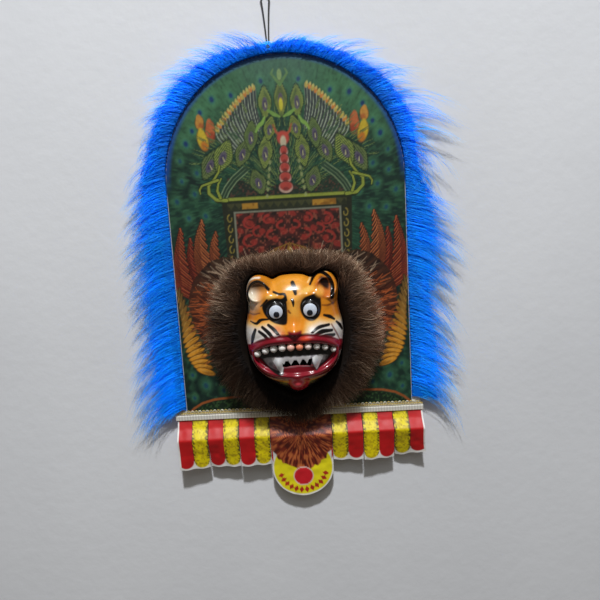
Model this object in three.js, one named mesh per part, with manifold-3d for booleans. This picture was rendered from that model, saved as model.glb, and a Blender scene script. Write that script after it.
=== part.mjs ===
// Wall-hung reog mask: an arched board faced with a printed sheet, a moulded tiger mask with a
// brown fur mane, a blue long-pile fur trim, a printed valance below and a black hanging cord.
//
// Millimetres, +Z up, the front faces -Y. Everything is drawn in the panel's own frame, with x = 0
// on the panel's centre line, z = 0 at the lower end of the picture and y = 0 at the back of the
// board. The exported group then moves it so that the origin is the nail in the cord's loop.

import * as THREE from "three";
import { mergeVertices } from "three/addons/utils/BufferGeometryUtils.js";
import Module from "manifold-3d";

const wasm = await Module();
wasm.setup();

// Driving dimensions

const fitGap = 0.3; // clearance between pieces that touch

const picture = { width: 365, straight: 360 }; // the printed area left showing, arched on top
const board = { thickness: 3, margin: 15, foot: 14, arcSteps: 40 };
const sheet = { thickness: 0.5, inset: 1 }; // the printed facing glued to the board

const mask = {
  centreHeight: 125, // above the picture's lower end
  wall: 2.2,
  rimDepth: 30, // height of the straight side wall
  domeDepth: 42,
  domePower: 2.4,
  draft: 2, // the side wall is this much wider at the back
  around: 56,
  rings: 14,
  insideAround: 40,
  insideRings: 9,
  insideReach: 4,
};

const eye = { across: 24.8, up: 41.5, radius: 9.8, sunk: 5.5, seatMargin: 0.8, seatThickness: 4 };
const eyeDisc = { thickness: 1.2 };
const eyeDome = { height: 5.2, wall: 0.6 };
const pupil = { radius: 4.3, thickness: 1, drop: 3.6, across: 0.6 };

const teeth = { firstAcross: 6.4, pitch: 12.4, count: 5, radius: 5.6, below: 10.5 };
const mouthSlot = { left: -20, right: 24, low: -40.5, high: -29.5, points: 4, pointLength: 5.5 };

const mane = {
  gap: 1.4, // to the mask's side wall
  reach: 121, // straight out to the sides
  crownLess: 12,
  browMore: 8,
  chinMore: 29,
  innerRise: 1, // above the mask's side wall
  crestRise: 9,
  crestOut: 12,
  tipHeight: 9,
  tipThickness: 4,
  locks: 26,
  lockDepth: 7,
  lockTwist: 0.35,
  around: 104,
  liftBelow: 16, // under this height the mane hangs over the valance
  liftHeight: 12,
};

const trim = {
  inner: 0, // from the picture's edge to the strip's inner edge
  width: 31,
  crownWidth: 21,
  thickness: 11,
  seamHeight: 306, // where the short strip begins on the right
  lockPitch: 25,
  lockWidth: 27,
  lockThickness: 10,
  lockSteps: 3,
  lockSides: 5,
  endMargin: 20, // from a strip's end to the middle of its first lock
  foot: 6,
};

const braid = { overhang: 3.5, height: 7.5, thickness: 1.2, pitch: 7, scallop: 2.2 };
const tape = { overhang: 3.5, height: 8.6, thickness: 1 };
const valance = {
  overhang: 1.5,
  thickness: 0.8,
  tucked: 0.2, // its top edge lies this far under the tape's
  drop: 87,
  badgeRadius: 50,
  badgeDrop: 92.5, // from its top edge to the badge's centre
  groups: 3, // to each side of the badge, with two printed stripes in each
  slitWidth: 1.6,
  slitDrop: 42,
};
// The sheet's fold: distance in front of the board against the distance down from the top edge.
const valanceFold = [
  [0, 0],
  [9.5, 0],
  [20, 4.5],
  [37, 17],
  [62, 10],
  [87, 5],
];

const cord = { diameter: 2.2, loopRadius: 6.6, footSpread: 1.5, rise: 72.5, sides: 8, steps: 30 };
const knot = { across: -14, belowBoardTop: 7, radius: 4.2, back: 4.4, stem: 2, front: 7 };
const holeClearance = 0.6; // round the knot's stem

// Places worked out from them

const archRadius = picture.width / 2;
const sheetBack = board.thickness + fitGap;
const sheetFront = sheetBack + sheet.thickness;
const faceBack = sheetFront + fitGap; // where pieces on the picture begin
const boardHalf = archRadius + board.margin;
const boardTop = picture.straight + boardHalf;
const knotHeight = boardTop - knot.belowBoardTop;
const nailHeight = boardTop + cord.rise;
const eyeSeatDepth = mask.rimDepth + mask.domeDepth - eye.sunk; // in front of the picture
const eyeSeatRadius = eye.radius + eye.seatMargin;
const tapeTop = -(braid.height + fitGap);
const tapeBottom = tapeTop - tape.height;
const valanceTop = tapeTop - valance.tucked;
const valanceHalf = boardHalf + valance.overhang;
const valanceFront = faceBack + valance.thickness;

// Solids

const material = (color, roughness, extra = {}) =>
  new THREE.MeshStandardMaterial({ color, roughness, metalness: 0, ...extra });

function solidOf(geometry) {
  const bare = geometry.clone();
  bare.deleteAttribute("normal");
  bare.deleteAttribute("uv");
  const merged = mergeVertices(bare, 1e-4);
  const made = new wasm.Manifold(
    new wasm.Mesh({
      numProp: 3,
      vertProperties: new Float32Array(merged.attributes.position.array),
      triVerts: new Uint32Array(merged.index.array),
    }),
  );
  return made;
}

function geometryOf(solid) {
  const { numProp, numVert, vertProperties, triVerts } = solid.getMesh();
  const positions = new Float32Array(numVert * 3);
  for (let i = 0; i < numVert; i++)
    positions.set(vertProperties.subarray(i * numProp, i * numProp + 3), i * 3);
  const geometry = new THREE.BufferGeometry();
  geometry.setAttribute("position", new THREE.BufferAttribute(positions, 3));
  geometry.setIndex(new THREE.BufferAttribute(new Uint32Array(triVerts), 1));
  return geometry;
}

// A closed skin through rings of points. ends is "capped" for a fan over the first and last ring,
// "pointed" where those two rings are single points, and "joined" where the last meets the first.
function latticeSolid(rings, ends) {
  const points = [];
  const starts = [];
  for (const ring of rings) {
    starts.push(points.length);
    points.push(...ring);
  }
  const triangles = [];
  const joinRings = (a, b) => {
    const na = rings[a].length;
    const nb = rings[b].length;
    const most = Math.max(na, nb);
    for (let i = 0; i < most; i++) {
      const j = (i + 1) % most;
      const [p, q] = na === 1 ? [starts[a], starts[a]] : [starts[a] + i, starts[a] + j];
      const [r, s] = nb === 1 ? [starts[b], starts[b]] : [starts[b] + i, starts[b] + j];
      if (p !== q) triangles.push(p, q, r);
      if (r !== s) triangles.push(q, s, r);
    }
  };
  for (let k = 0; k + 1 < rings.length; k++) joinRings(k, k + 1);
  if (ends === "joined") joinRings(rings.length - 1, 0);
  if (ends === "capped")
    for (const [ring, turned] of [
      [0, true],
      [rings.length - 1, false],
    ]) {
      const centre = new THREE.Vector3();
      for (const point of rings[ring]) centre.addScaledVector(point, 1 / rings[ring].length);
      const hub = points.push(centre) - 1;
      const n = rings[ring].length;
      for (let i = 0; i < n; i++) {
        const a = starts[ring] + i;
        const b = starts[ring] + ((i + 1) % n);
        triangles.push(...(turned ? [hub, b, a] : [hub, a, b]));
      }
    }
  const make = (order) => {
    const geometry = new THREE.BufferGeometry();
    geometry.setAttribute(
      "position",
      new THREE.Float32BufferAttribute(points.flatMap((p) => [p.x, p.y, p.z]), 3),
    );
    geometry.setIndex(order);
    return solidOf(geometry);
  };
  const solid = make(triangles);
  return solid.volume() > 0 ? solid : make(triangles.reverse());
}

// A flat outline in x and z, given thickness from the depth `front` back towards the wall.
function plate(outline, front, thickness, bores = []) {
  const shape = new THREE.Shape(outline.map(([x, z]) => new THREE.Vector2(x, z)));
  for (const { x, z, radius } of bores)
    shape.holes.push(new THREE.Path().absarc(x, z, radius, 0, 2 * Math.PI, true));
  const geometry = new THREE.ExtrudeGeometry(shape, {
    depth: thickness,
    bevelEnabled: false,
    curveSegments: 8,
  });
  geometry.rotateX(Math.PI / 2); // the outline's y becomes z, and the depth runs towards -y
  geometry.translate(0, -(front - thickness), 0);
  return solidOf(geometry);
}

// Fills the small closed hollows that are left where neighbouring locks cross.
function withoutPockets(solid) {
  return wasm.Manifold.compose(solid.decompose().filter((skin) => skin.volume() > 0));
}

function archOutline(half, foot) {
  const points = [
    [-half, foot],
    [half, foot],
  ];
  for (let i = 0; i <= board.arcSteps; i++) {
    const angle = (Math.PI * i) / board.arcSteps;
    points.push([half * Math.cos(angle), picture.straight + half * Math.sin(angle)]);
  }
  return points;
}

function lathed(profile, segments) {
  const points = profile.map(([r, h]) => new THREE.Vector2(r, h));
  return new THREE.LatheGeometry(points, segments);
}

const smooth = (low, high, x) => {
  const t = THREE.MathUtils.clamp((x - low) / (high - low), 0, 1);
  return t * t * (3 - 2 * t);
};
const bump = (x, y, cx, cy, rx, ry) => Math.exp(-(((x - cx) / rx) ** 2) - ((y - cy) / ry) ** 2);

// The moulded tiger mask, drawn as a height over its own flat back

// The right half of its outline from the crown to the chin: across and up from its centre.
const maskOutline = [
  [0, 91],
  [17, 89.5],
  [29, 85],
  [38, 90],
  [50, 93],
  [60, 89],
  [67, 78],
  [69, 65],
  [67.5, 50],
  [69, 34],
  [73, 16],
  [74, 2],
  [72.5, -14],
  [69, -31],
  [61, -48],
  [49, -62],
  [35, -74],
  [19, -83],
  [7, -90],
  [0, -91],
];

// Distance from the centre to the outline in the direction `angle`, clockwise from straight up.
const outlineCurve = (() => {
  const corners = maskOutline.map(([u, v]) => [Math.atan2(u, v), Math.hypot(u, v)]);
  return (angle) => {
    const a = Math.abs(THREE.MathUtils.euclideanModulo(angle + Math.PI, 2 * Math.PI) - Math.PI);
    let k = 0;
    while (k < corners.length - 2 && corners[k + 1][0] < a) k++;
    const at = (i) => {
      if (i < 0) return [-corners[1][0], corners[1][1]];
      if (i < corners.length) return corners[i];
      const mirrored = corners[corners.length - 2];
      return [2 * Math.PI - mirrored[0], mirrored[1]];
    };
    const [p0, p1, p2, p3] = [at(k - 1), at(k), at(k + 1), at(k + 2)];
    const h = p2[0] - p1[0];
    const t = (a - p1[0]) / h;
    const m1 = ((p2[1] - p0[1]) / (p2[0] - p0[0])) * h;
    const m2 = ((p3[1] - p1[1]) / (p3[0] - p1[0])) * h;
    return (
      (2 * t ** 3 - 3 * t ** 2 + 1) * p1[1] +
      (t ** 3 - 2 * t ** 2 + t) * m1 +
      (-2 * t ** 3 + 3 * t ** 2) * p2[1] +
      (t ** 3 - t ** 2) * m2
    );
  };
})();

const mouth = { halfWidth: 65, top: 1, corner: -16, bottom: -57, lipRadius: 7.5 };

// Above 0 outside the mouth's outline and below 0 inside it, in millimetres near the outline.
function mouthDistance(u, v) {
  const across = Math.min(Math.abs(u) / mouth.halfWidth, 1.25);
  const top = mouth.top - (mouth.top - mouth.corner) * across ** 3;
  const bottom = mouth.corner - (mouth.corner - mouth.bottom) * Math.sqrt(Math.max(0, 1 - across ** 3));
  const side = Math.abs(u) - mouth.halfWidth;
  if (across >= 1) return Math.hypot(side, v - mouth.corner);
  return Math.max(v - top, bottom - v, side);
}

function maskRelief(u, v) {
  const a = Math.abs(u);
  const edge = outlineCurve(Math.atan2(u, v));
  const share = Math.min(1, Math.hypot(u, v) / edge);
  let depth =
    mask.rimDepth + mask.domeDepth * Math.sqrt(Math.max(0, 1 - share ** mask.domePower));
  depth += 9 * bump(u, v, 0, -24, 54, 30); // the muzzle
  depth += 4 * bump(a, v, 27, 64, 18, 7); // brows
  depth -= 7 * bump(a, v, 26, 41, 19, 17); // eye sockets
  depth += 7 * Math.exp(-((u / 12) ** 2)) * smooth(72, 55, v) * smooth(2, 14, v); // nose bridge
  depth += 8 * bump(u, v, 0, 13, 14, 9); // nose tip
  depth += 8 * bump(a, v, 36, 9, 22, 12); // whisker pads
  const lip = mouthDistance(u, v);
  depth += 6 * Math.exp(-((lip / mouth.lipRadius) ** 2));
  depth -= 5 * smooth(-3, -9, lip); // the mouth lies behind its lips
  depth += 6 * bump(u, v, 0, -49, 34, 8); // lower lip and gum
  depth += 7 * bump(a, v, 26, -36, 7, 13); // fangs
  depth += 10 * bump(u, v, 0, -69, 14, 11); // tongue over the chin
  // The ears: a raised rim round a bowl.
  const earAway = Math.hypot(a - 50, v - 72);
  const outward = smooth(-14, 6, a - 46 + (v - 70) * 0.9);
  depth += 7 * Math.exp(-(((earAway - 15) / 4.5) ** 2)) * outward;
  depth -= 6 * bump(a, v, 50, 73, 10, 11);
  // A flat seat for each eye.
  const seat = smooth(eyeSeatRadius + 5, eyeSeatRadius, Math.hypot(a - eye.across, v - eye.up));
  return depth * (1 - seat) + eyeSeatDepth * seat;
}

// A point of the mask: u across, v up from its centre, depth in front of the picture.
const maskPoint = (u, v, depth) => new THREE.Vector3(u, -(faceBack + depth), mask.centreHeight + v);

const aroundSteps = (count) =>
  Array.from({ length: count }, (_, i) => (2 * Math.PI * i) / count);

// A closed skin under a height field, inside an outline and back to the depth `back`.
function maskSkin(relief, outline, around, rings, back) {
  const skin = [];
  for (let k = 0; k <= rings; k++) {
    const share = Math.sin((Math.PI / 2) * (k / rings));
    skin.push(
      (k === 0 ? [0] : aroundSteps(around)).map((angle) => {
        const r = outline(angle) * share;
        const [u, v] = [Math.sin(angle) * r, Math.cos(angle) * r];
        return maskPoint(u, v, relief(u, v));
      }),
    );
  }
  const foot = aroundSteps(around).map((angle) => {
    const r = outline(angle) + mask.draft;
    return maskPoint(Math.sin(angle) * r, Math.cos(angle) * r, back);
  });
  skin.push(foot, [maskPoint(0, 0, back)]);
  return latticeSolid(skin, "pointed");
}

// The inside keeps to the narrowest and lowest part of the face nearby, so the wall is nowhere thin.
function insideOutline(angle) {
  const nearby = [-0.13, -0.06, 0, 0.06, 0.13].map((turn) => outlineCurve(angle + turn));
  return Math.min(...nearby) - 1.5 * mask.wall;
}

function insideRelief(u, v) {
  let lowest = Infinity;
  for (const away of [0, mask.insideReach])
    for (const angle of aroundSteps(8)) {
      const [nu, nv] = [u + away * Math.sin(angle), v + away * Math.cos(angle)];
      if (Math.hypot(nu, nv) > outlineCurve(Math.atan2(nu, nv)) - 1) continue;
      lowest = Math.min(lowest, maskRelief(nu, nv));
    }
  return Math.min(lowest, maskRelief(u, v)) - 1.4 * mask.wall;
}

function mouthSlotOutline() {
  const { left, right, low, high, points, pointLength } = mouthSlot;
  const outline = [
    [left, low + 1.5],
    [(left + right) / 2, low + 3],
    [right - 3, low],
    [right, high],
  ];
  const pitch = (right - left) / points;
  for (let i = points; i > 0; i--) {
    outline.push([left + pitch * (i - 0.5), high - pointLength]);
    outline.push([left + pitch * (i - 1), high - (i === 1 ? 2 : 0)]);
  }
  return outline.map(([u, v]) => [u, v + mask.centreHeight]);
}

function maskSolid() {
  let solid = maskSkin(maskRelief, outlineCurve, mask.around, mask.rings, 0);
  for (const side of [-1, 1])
    for (let i = 0; i < teeth.count; i++) {
      const u = side * (teeth.firstAcross + teeth.pitch * i);
      const across = Math.abs(u) / mouth.halfWidth;
      const v = mouth.top - (mouth.top - mouth.corner) * across ** 3 - teeth.below;
      const radius = teeth.radius * (1 - 0.3 * across);
      const bead = new THREE.SphereGeometry(radius, 8, 6);
      const place = maskPoint(u, v, maskRelief(u, v) - 0.15 * radius);
      bead.translate(place.x, place.y, place.z);
      solid = solid.add(solidOf(bead));
    }
  solid = solid.subtract(
    maskSkin(insideRelief, insideOutline, mask.insideAround, mask.insideRings, -1),
  );
  for (const side of [-1, 1]) {
    const drum = (from, to) =>
      solidOf(
        facingFront(
          lathed([[0, from], [eyeSeatRadius, from], [eyeSeatRadius, to], [0, to]], 24),
          side * eye.across,
          faceBack,
          mask.centreHeight + eye.up,
        ),
      );
    solid = solid.add(drum(eyeSeatDepth - eye.seatThickness, eyeSeatDepth));
    solid = solid.subtract(drum(eyeSeatDepth, eyeSeatDepth + 2 * eyeSeatRadius));
  }
  const deepest = mask.rimDepth + 2 * mask.domeDepth;
  return solid.subtract(plate(mouthSlotOutline(), faceBack + deepest, deepest));
}

// Stick-on eyes: a white disc, a loose black pupil and a clear dome over both

const eyeSeat = faceBack + eyeSeatDepth + fitGap;

function facingFront(geometry, x, depth, z) {
  geometry.rotateX(Math.PI); // a lathe's axis points to the front
  geometry.translate(x, -depth, z);
  return geometry;
}

function eyeDiscGeometry() {
  return lathed(
    [
      [0, 0],
      [eye.radius, 0],
      [eye.radius, eyeDisc.thickness],
      [0, eyeDisc.thickness],
    ],
    24,
  );
}

function pupilGeometry() {
  return lathed(
    [
      [0, 0],
      [pupil.radius, 0],
      [pupil.radius, pupil.thickness * 0.6],
      [pupil.radius * 0.7, pupil.thickness],
      [0, pupil.thickness],
    ],
    18,
  );
}

function eyeDomeGeometry() {
  const outside = [];
  const inside = [];
  const steps = 5;
  for (let i = 0; i <= steps; i++) {
    const angle = ((Math.PI / 2) * i) / steps;
    const { wall, height } = eyeDome;
    outside.push([eye.radius * Math.cos(angle), height * Math.sin(angle)]);
    inside.unshift([(eye.radius - wall) * Math.cos(angle), (height - wall) * Math.sin(angle)]);
  }
  outside[steps][0] = 0;
  inside[0][0] = 0;
  return lathed([...outside, ...inside, outside[0]], 24);
}

// The brown mane, a ring of fur round the mask

function maneReach(angle) {
  const a = Math.abs(THREE.MathUtils.euclideanModulo(angle + Math.PI, 2 * Math.PI) - Math.PI);
  return (
    mane.reach +
    mane.browMore * bump(a, 0, 0.95, 0, 0.4, 1) -
    mane.crownLess * bump(a, 0, 0, 0, 0.5, 1) +
    mane.chinMore * bump(a, 0, Math.PI, 0, 0.42, 1)
  );
}

function maneRings() {
  const rings = [];
  const innerAt = (angle) => outlineCurve(angle) + mask.draft + mane.gap;
  const across = [0, 0.26, 0.5, 0.76, 1]; // shares of the way out for the rings on its top
  for (let i = 0; i < mane.around; i++) {
    const angle = (2 * Math.PI * i) / mane.around;
    const inner = innerAt(angle);
    const ring = [];
    const place = (share, depth) => {
      const wave = Math.sin(mane.locks * (angle + mane.lockTwist * share * 0.3));
      const reach = maneReach(angle) + (share > 0.3 ? mane.lockDepth * wave * share : 0);
      const r = inner + (reach - inner) * share;
      const turned = angle + 0.04 * wave * share;
      const z = mask.centreHeight + Math.cos(turned) * r;
      const lift = mane.liftHeight * smooth(mane.liftBelow, 6, z);
      ring.push(new THREE.Vector3(Math.sin(turned) * r, -(faceBack + lift + depth), z));
    };
    for (const share of across) {
      const crest = mane.crestOut / (maneReach(angle) - inner);
      const climb = mane.innerRise + (mane.crestRise - mane.innerRise) * smooth(0, crest, share);
      const rise = mask.rimDepth + climb;
      const fall = smooth(crest, 1.05, share);
      const ridge = 3 * Math.sin(mane.locks * angle) * share * (1 - share) * 4;
      place(share, rise * (1 - fall) + mane.tipHeight * fall + ridge);
    }
    place(1, mane.tipHeight - mane.tipThickness);
    place(0.5, 0);
    place(0, 0);
    rings.push(ring);
  }
  return rings;
}

// The blue trim: long-pile fur strips round the arch, with locks that sweep out and droop

// The strip's run, from the lower left up over the arch to the lower right, as a length along it.
const runStraight = picture.straight - trim.foot;
const runLength = 2 * runStraight + Math.PI * archRadius;

function alongTrim(length, out) {
  if (length < runStraight)
    return { x: -(archRadius + out), z: trim.foot + length, nx: -1, nz: 0 };
  const turned = (length - runStraight) / archRadius;
  if (turned < Math.PI) {
    const [nx, nz] = [-Math.cos(turned), Math.sin(turned)];
    const r = archRadius + out;
    return { x: nx * r, z: picture.straight + nz * r, nx, nz };
  }
  const down = length - runStraight - Math.PI * archRadius;
  return { x: archRadius + out, z: picture.straight - down, nx: 1, nz: 0 };
}

// How near a place along the run is to the crown, from 0 down the sides to 1 at the top.
const crownShare = (length) => bump(length / runLength, 0, 0.5, 0, 0.17, 1);

// The strip's section: distance out from the picture's edge, and depth from the wall.
function trimSection(length) {
  const edge = board.margin + fitGap;
  const front = faceBack + trim.thickness;
  const width = trim.width - (trim.width - trim.crownWidth) * crownShare(length);
  return [
    [trim.inner, faceBack],
    [edge, faceBack],
    [edge, fitGap],
    [width - 3, fitGap],
    [width, front * 0.45],
    [width - 5, front * 0.92],
    [width * 0.45, front],
    [trim.inner, faceBack + trim.thickness * 0.45],
  ];
}

function trimBand(from, to) {
  const stations = new Set([from, to]);
  const arcFrom = runStraight;
  const arcTo = runStraight + Math.PI * archRadius;
  for (let i = 0; i <= board.arcSteps; i++) {
    const at = arcFrom + ((arcTo - arcFrom) * i) / board.arcSteps;
    if (at > from && at < to) stations.add(at);
  }
  const rings = [...stations]
    .sort((a, b) => a - b)
    .map((length) =>
      trimSection(length).map(([out, depth]) => {
        const { x, z } = alongTrim(length, out);
        return new THREE.Vector3(x, -depth, z);
      }),
    );
  return latticeSolid(rings, "capped");
}

// One lock: a flat tapering tongue along a curve that leaves the strip and bends down.
function trimLock(length, reach) {
  const steep = Math.abs(alongTrim(length, 0).nx); // 0 over the crown, 1 down the sides
  const { x, z, nx, nz } = alongTrim(length, trim.width * (0.2 + 0.35 * steep));
  const side = Math.abs(nx) < 0.05 ? (x < knot.across ? -1 : 1) : Math.sign(nx);
  const tip = new THREE.Vector2(side * (0.98 - 0.28 * steep), 0.02 - 0.7 * steep).normalize();
  const start = new THREE.Vector3(x, 0, z);
  const bend = new THREE.Vector3(x + nx * reach * 0.42, 0, z + nz * reach * (0.08 + 0.3 * steep));
  const end = new THREE.Vector3(bend.x + tip.x * reach * 0.66, 0, bend.z + tip.y * reach * 0.66);
  const curve = new THREE.QuadraticBezierCurve3(start, bend, end);
  const depthHere = faceBack + trim.thickness * 0.42;
  const rings = [];
  for (let i = 0; i <= trim.lockSteps; i++) {
    const share = i / trim.lockSteps;
    const centre = curve.getPoint(share);
    const along = curve.getTangent(share);
    const across = new THREE.Vector3(-along.z, 0, along.x);
    const taper = Math.sqrt(1 - 0.97 * share ** 1.7);
    const half = (trim.lockWidth / 2) * taper;
    const thick = (trim.lockThickness / 2) * taper;
    const ring = [];
    for (let k = 0; k < trim.lockSides; k++) {
      const angle = (2 * Math.PI * k) / trim.lockSides;
      ring.push(
        centre
          .clone()
          .addScaledVector(across, half * Math.cos(angle))
          .add(new THREE.Vector3(0, -depthHere - thick * Math.sin(angle), 0)),
      );
    }
    rings.push(ring);
  }
  return latticeSolid(rings, "capped");
}

// How far the pile reaches at a place along the run, longer down the sides than over the crown.
function pileReach(length) {
  const share = length / runLength;
  const uneven = 6 * Math.sin(length * 0.045) + 4 * Math.sin(length * 0.11 + 1);
  const parting = 22 * bump(share, 0, 0.735, 0, 0.018, 1);
  return 68 - 26 * crownShare(length) + 8 * smooth(0.62, 0.75, share) + uneven - parting;
}

function trimStrip(from, to) {
  const pieces = [trimBand(from, to)];
  const usable = to - from - 2 * trim.endMargin;
  const count = Math.floor(usable / trim.lockPitch);
  for (let i = 0; i <= count; i++) {
    const at = from + trim.endMargin + (usable * i) / count;
    pieces.push(trimLock(at, pileReach(at)));
  }
  return withoutPockets(wasm.Manifold.union(pieces));
}

const seamAt = runStraight + Math.PI * archRadius + (picture.straight - trim.seamHeight);

function longTrimSolid() {
  const pocket = lathed(
    [
      [0, 0],
      [knot.radius + 1, 0],
      [knot.radius + 1, knot.front + 1],
      [0, knot.front + 1],
    ],
    12,
  );
  facingFront(pocket, knot.across, faceBack - 0.5, knotHeight);
  return trimStrip(0, seamAt - fitGap).subtract(solidOf(pocket));
}

// The valance: a thin printed sheet with a horizontal fold, slit between its groups of stripes

function valanceOutline() {
  const half = valanceHalf;
  const { badgeRadius, slitWidth } = valance;
  const bottomHeight = valanceTop - valance.drop;
  const badgeHeight = valanceTop - valance.badgeDrop;
  const groupWidth = (half - badgeRadius) / valance.groups;
  const meet = Math.sqrt(badgeRadius ** 2 - (bottomHeight - badgeHeight) ** 2);
  const right = [];
  const arcSteps = 12;
  const from = Math.atan2(meet, bottomHeight - badgeHeight);
  for (let i = 0; i <= arcSteps; i++) {
    const angle = Math.PI - ((Math.PI - from) * i) / arcSteps;
    right.push([badgeRadius * Math.sin(angle), badgeHeight + badgeRadius * Math.cos(angle)]);
  }
  for (let x = badgeRadius + groupWidth; x < half - 1; x += groupWidth) {
    right.push([x - slitWidth / 2, bottomHeight]);
    right.push([x, valanceTop - valance.slitDrop]);
    right.push([x + slitWidth / 2, bottomHeight]);
  }
  right.push([half, bottomHeight]);
  right.push([half, valanceTop]);
  const left = right.slice(1).map(([x, z]) => [-x, z]);
  return [...right, ...left.reverse()];
}

function valanceSolid() {
  const lowest = valance.badgeDrop + valance.badgeRadius + 1;
  const line = [...valanceFold, [lowest, 2]];
  const ring = (x) => {
    const at = (extra) =>
      line.map(([down, out]) => new THREE.Vector3(x, -(faceBack + out + extra), valanceTop - down));
    return [...at(valance.thickness), ...at(0).reverse()];
  };
  const folded = latticeSolid([ring(-valanceHalf - 1), ring(valanceHalf + 1)], "capped");
  const deepest = faceBack + Math.max(...valanceFold.map(([, out]) => out)) + 2 * valance.thickness;
  return folded.intersect(plate(valanceOutline(), deepest, deepest));
}

function braidSolid() {
  const half = boardHalf + braid.overhang;
  const waves = Math.round((2 * half) / braid.pitch);
  const top = [];
  for (let i = 0; i <= waves * 2; i++) {
    const x = half - (half * i) / waves;
    top.push([x, i % 2 ? 0 : -braid.scallop]);
  }
  const foot = [
    [-half, -braid.height],
    [half, -braid.height],
  ];
  return plate([...foot, ...top], faceBack + braid.thickness, braid.thickness);
}

function tapeSolid() {
  const half = boardHalf + tape.overhang;
  const outline = [
    [-half, tapeBottom],
    [half, tapeBottom],
    [half, tapeTop],
    [-half, tapeTop],
  ];
  return plate(outline, valanceFront + fitGap + tape.thickness, tape.thickness);
}

// The hanging cord: a loop that rises from the knot behind the board to the nail

// Half of the loop, from the knot to the top: across from its middle, distance behind the wall
// side of the board, and height below the nail.
const cordSide = [
  [cord.footSpread, 2.4, nailHeight - knotHeight - knot.radius - fitGap],
  [1.7, 2.2, 66],
  [2.5, 1.6, 50],
  [3.9, 0.9, 30],
  [5.4, 0.3, 14],
];

function cordGeometry() {
  const middleHeight = nailHeight + cord.diameter / 2 - cord.loopRadius;
  const side = cordSide.map(([across, back, below]) => [across, back, nailHeight - below]);
  const top = [];
  const arcSteps = 6;
  for (let i = 0; i <= arcSteps; i++) {
    const angle = (Math.PI * i) / arcSteps;
    top.push([-cord.loopRadius * Math.cos(angle), 0, middleHeight + cord.loopRadius * Math.sin(angle)]);
  }
  const left = side.map(([across, back, z]) => [-across, back, z]);
  const right = [...side].reverse();
  const points = [...left, ...top, ...right].map(
    ([across, back, z]) => new THREE.Vector3(knot.across + across, back, z),
  );
  const route = new THREE.CatmullRomCurve3(points, false, "centripetal");
  const section = new THREE.Shape();
  for (let k = 0; k < cord.sides; k++) {
    const angle = (2 * Math.PI * k) / cord.sides;
    const [sx, sy] = [Math.cos(angle), Math.sin(angle)].map((part) => (part * cord.diameter) / 2);
    if (k === 0) section.moveTo(sx, sy);
    else section.lineTo(sx, sy);
  }
  return new THREE.ExtrudeGeometry(section, {
    steps: cord.steps,
    extrudePath: route,
    bevelEnabled: false,
  });
}

// A knot on the board's back, its stem through the board and a stopper knot under the fur.
function knotGeometry() {
  const front = faceBack + fitGap;
  const { radius, back, stem } = knot;
  const profile = [
    [0, -back],
    [radius * 0.7, -back],
    [radius, -back * 0.55],
    [radius * 0.8, -fitGap],
    [stem, -fitGap],
    [stem, front],
    [radius * 0.75, front],
    [radius, front + knot.front * 0.35],
    [radius * 0.6, front + knot.front * 0.8],
    [0, front + knot.front * 0.8],
  ];
  return facingFront(lathed(profile, 14), knot.across, 0, knotHeight);
}

// The object

const looks = {
  board: material(0x8a6a48, 0.8),
  picture: material(0x2b4a35, 0.55),
  blueFur: material(0x1766d8, 0.75),
  brownFur: material(0x3a2a20, 0.85),
  mask: material(0xe8951f, 0.25),
  eyeWhite: material(0xf0f1f4, 0.4),
  pupil: material(0x10141c, 0.35),
  clear: material(0xffffff, 0.05, { transparent: true, opacity: 0.25 }),
  valance: material(0xd8c21c, 0.5),
  tape: material(0xe6e4dc, 0.8),
  braid: material(0xc9a94a, 0.45),
  cord: material(0x15161a, 0.8),
};

const group = new THREE.Group();
const bore = [{ x: knot.across, z: knotHeight, radius: knot.stem + holeClearance }];

function add(name, shape, look) {
  const geometry = shape.isBufferGeometry ? shape : geometryOf(shape);
  const mesh = new THREE.Mesh(geometry, look);
  mesh.name = name;
  group.add(mesh);
  return mesh;
}

const boardOutline = archOutline(boardHalf, -board.foot);
const sheetOutline = archOutline(boardHalf - sheet.inset, sheet.inset - board.foot);
add("back_board", plate(boardOutline, board.thickness, board.thickness, bore), looks.board);
add("printed_picture", plate(sheetOutline, sheetFront, sheet.thickness, bore), looks.picture);
add("fur_trim_long", longTrimSolid(), looks.blueFur);
add("fur_trim_short", trimStrip(seamAt + fitGap, runLength), looks.blueFur);
add("tiger_mask", maskSolid(), looks.mask);
add("mane", latticeSolid(maneRings(), "joined"), looks.brownFur);

for (const [side, sign] of [
  ["left", -1],
  ["right", 1],
]) {
  const x = sign * eye.across;
  const z = mask.centreHeight + eye.up;
  const discFront = eyeSeat + eyeDisc.thickness + fitGap;
  add(`eye_disc_${side}`, facingFront(eyeDiscGeometry(), x, eyeSeat, z), looks.eyeWhite);
  add(
    `pupil_${side}`,
    facingFront(pupilGeometry(), x - pupil.across * sign, discFront, z - pupil.drop),
    looks.pupil,
  );
  add(`eye_dome_${side}`, facingFront(eyeDomeGeometry(), x, discFront, z), looks.clear);
}

add("valance", valanceSolid(), looks.valance);
add("white_tape", tapeSolid(), looks.tape);
add("gold_braid", braidSolid(), looks.braid);
add("hanging_cord", cordGeometry(), looks.cord);
add("cord_knot", knotGeometry(), looks.cord);

// The origin is the nail, straight above the knot, at the inner top of the loop.
group.position.set(-knot.across, 0, -nailHeight);

export default group;
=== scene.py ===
"""Looks of a wall-hung reog mask: painted print, moulded mask, fur, valance and cord.

Sizes are in millimetres in the panel's drawing frame, with x = 0 on the panel's centre line, z = 0
at the lower end of the picture and y = 0 at the back of the board, until row() turns them into
metres in the row frame, whose origin is the nail.
"""

import bpy
import numpy as np
from mathutils import Matrix, Vector


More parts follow.
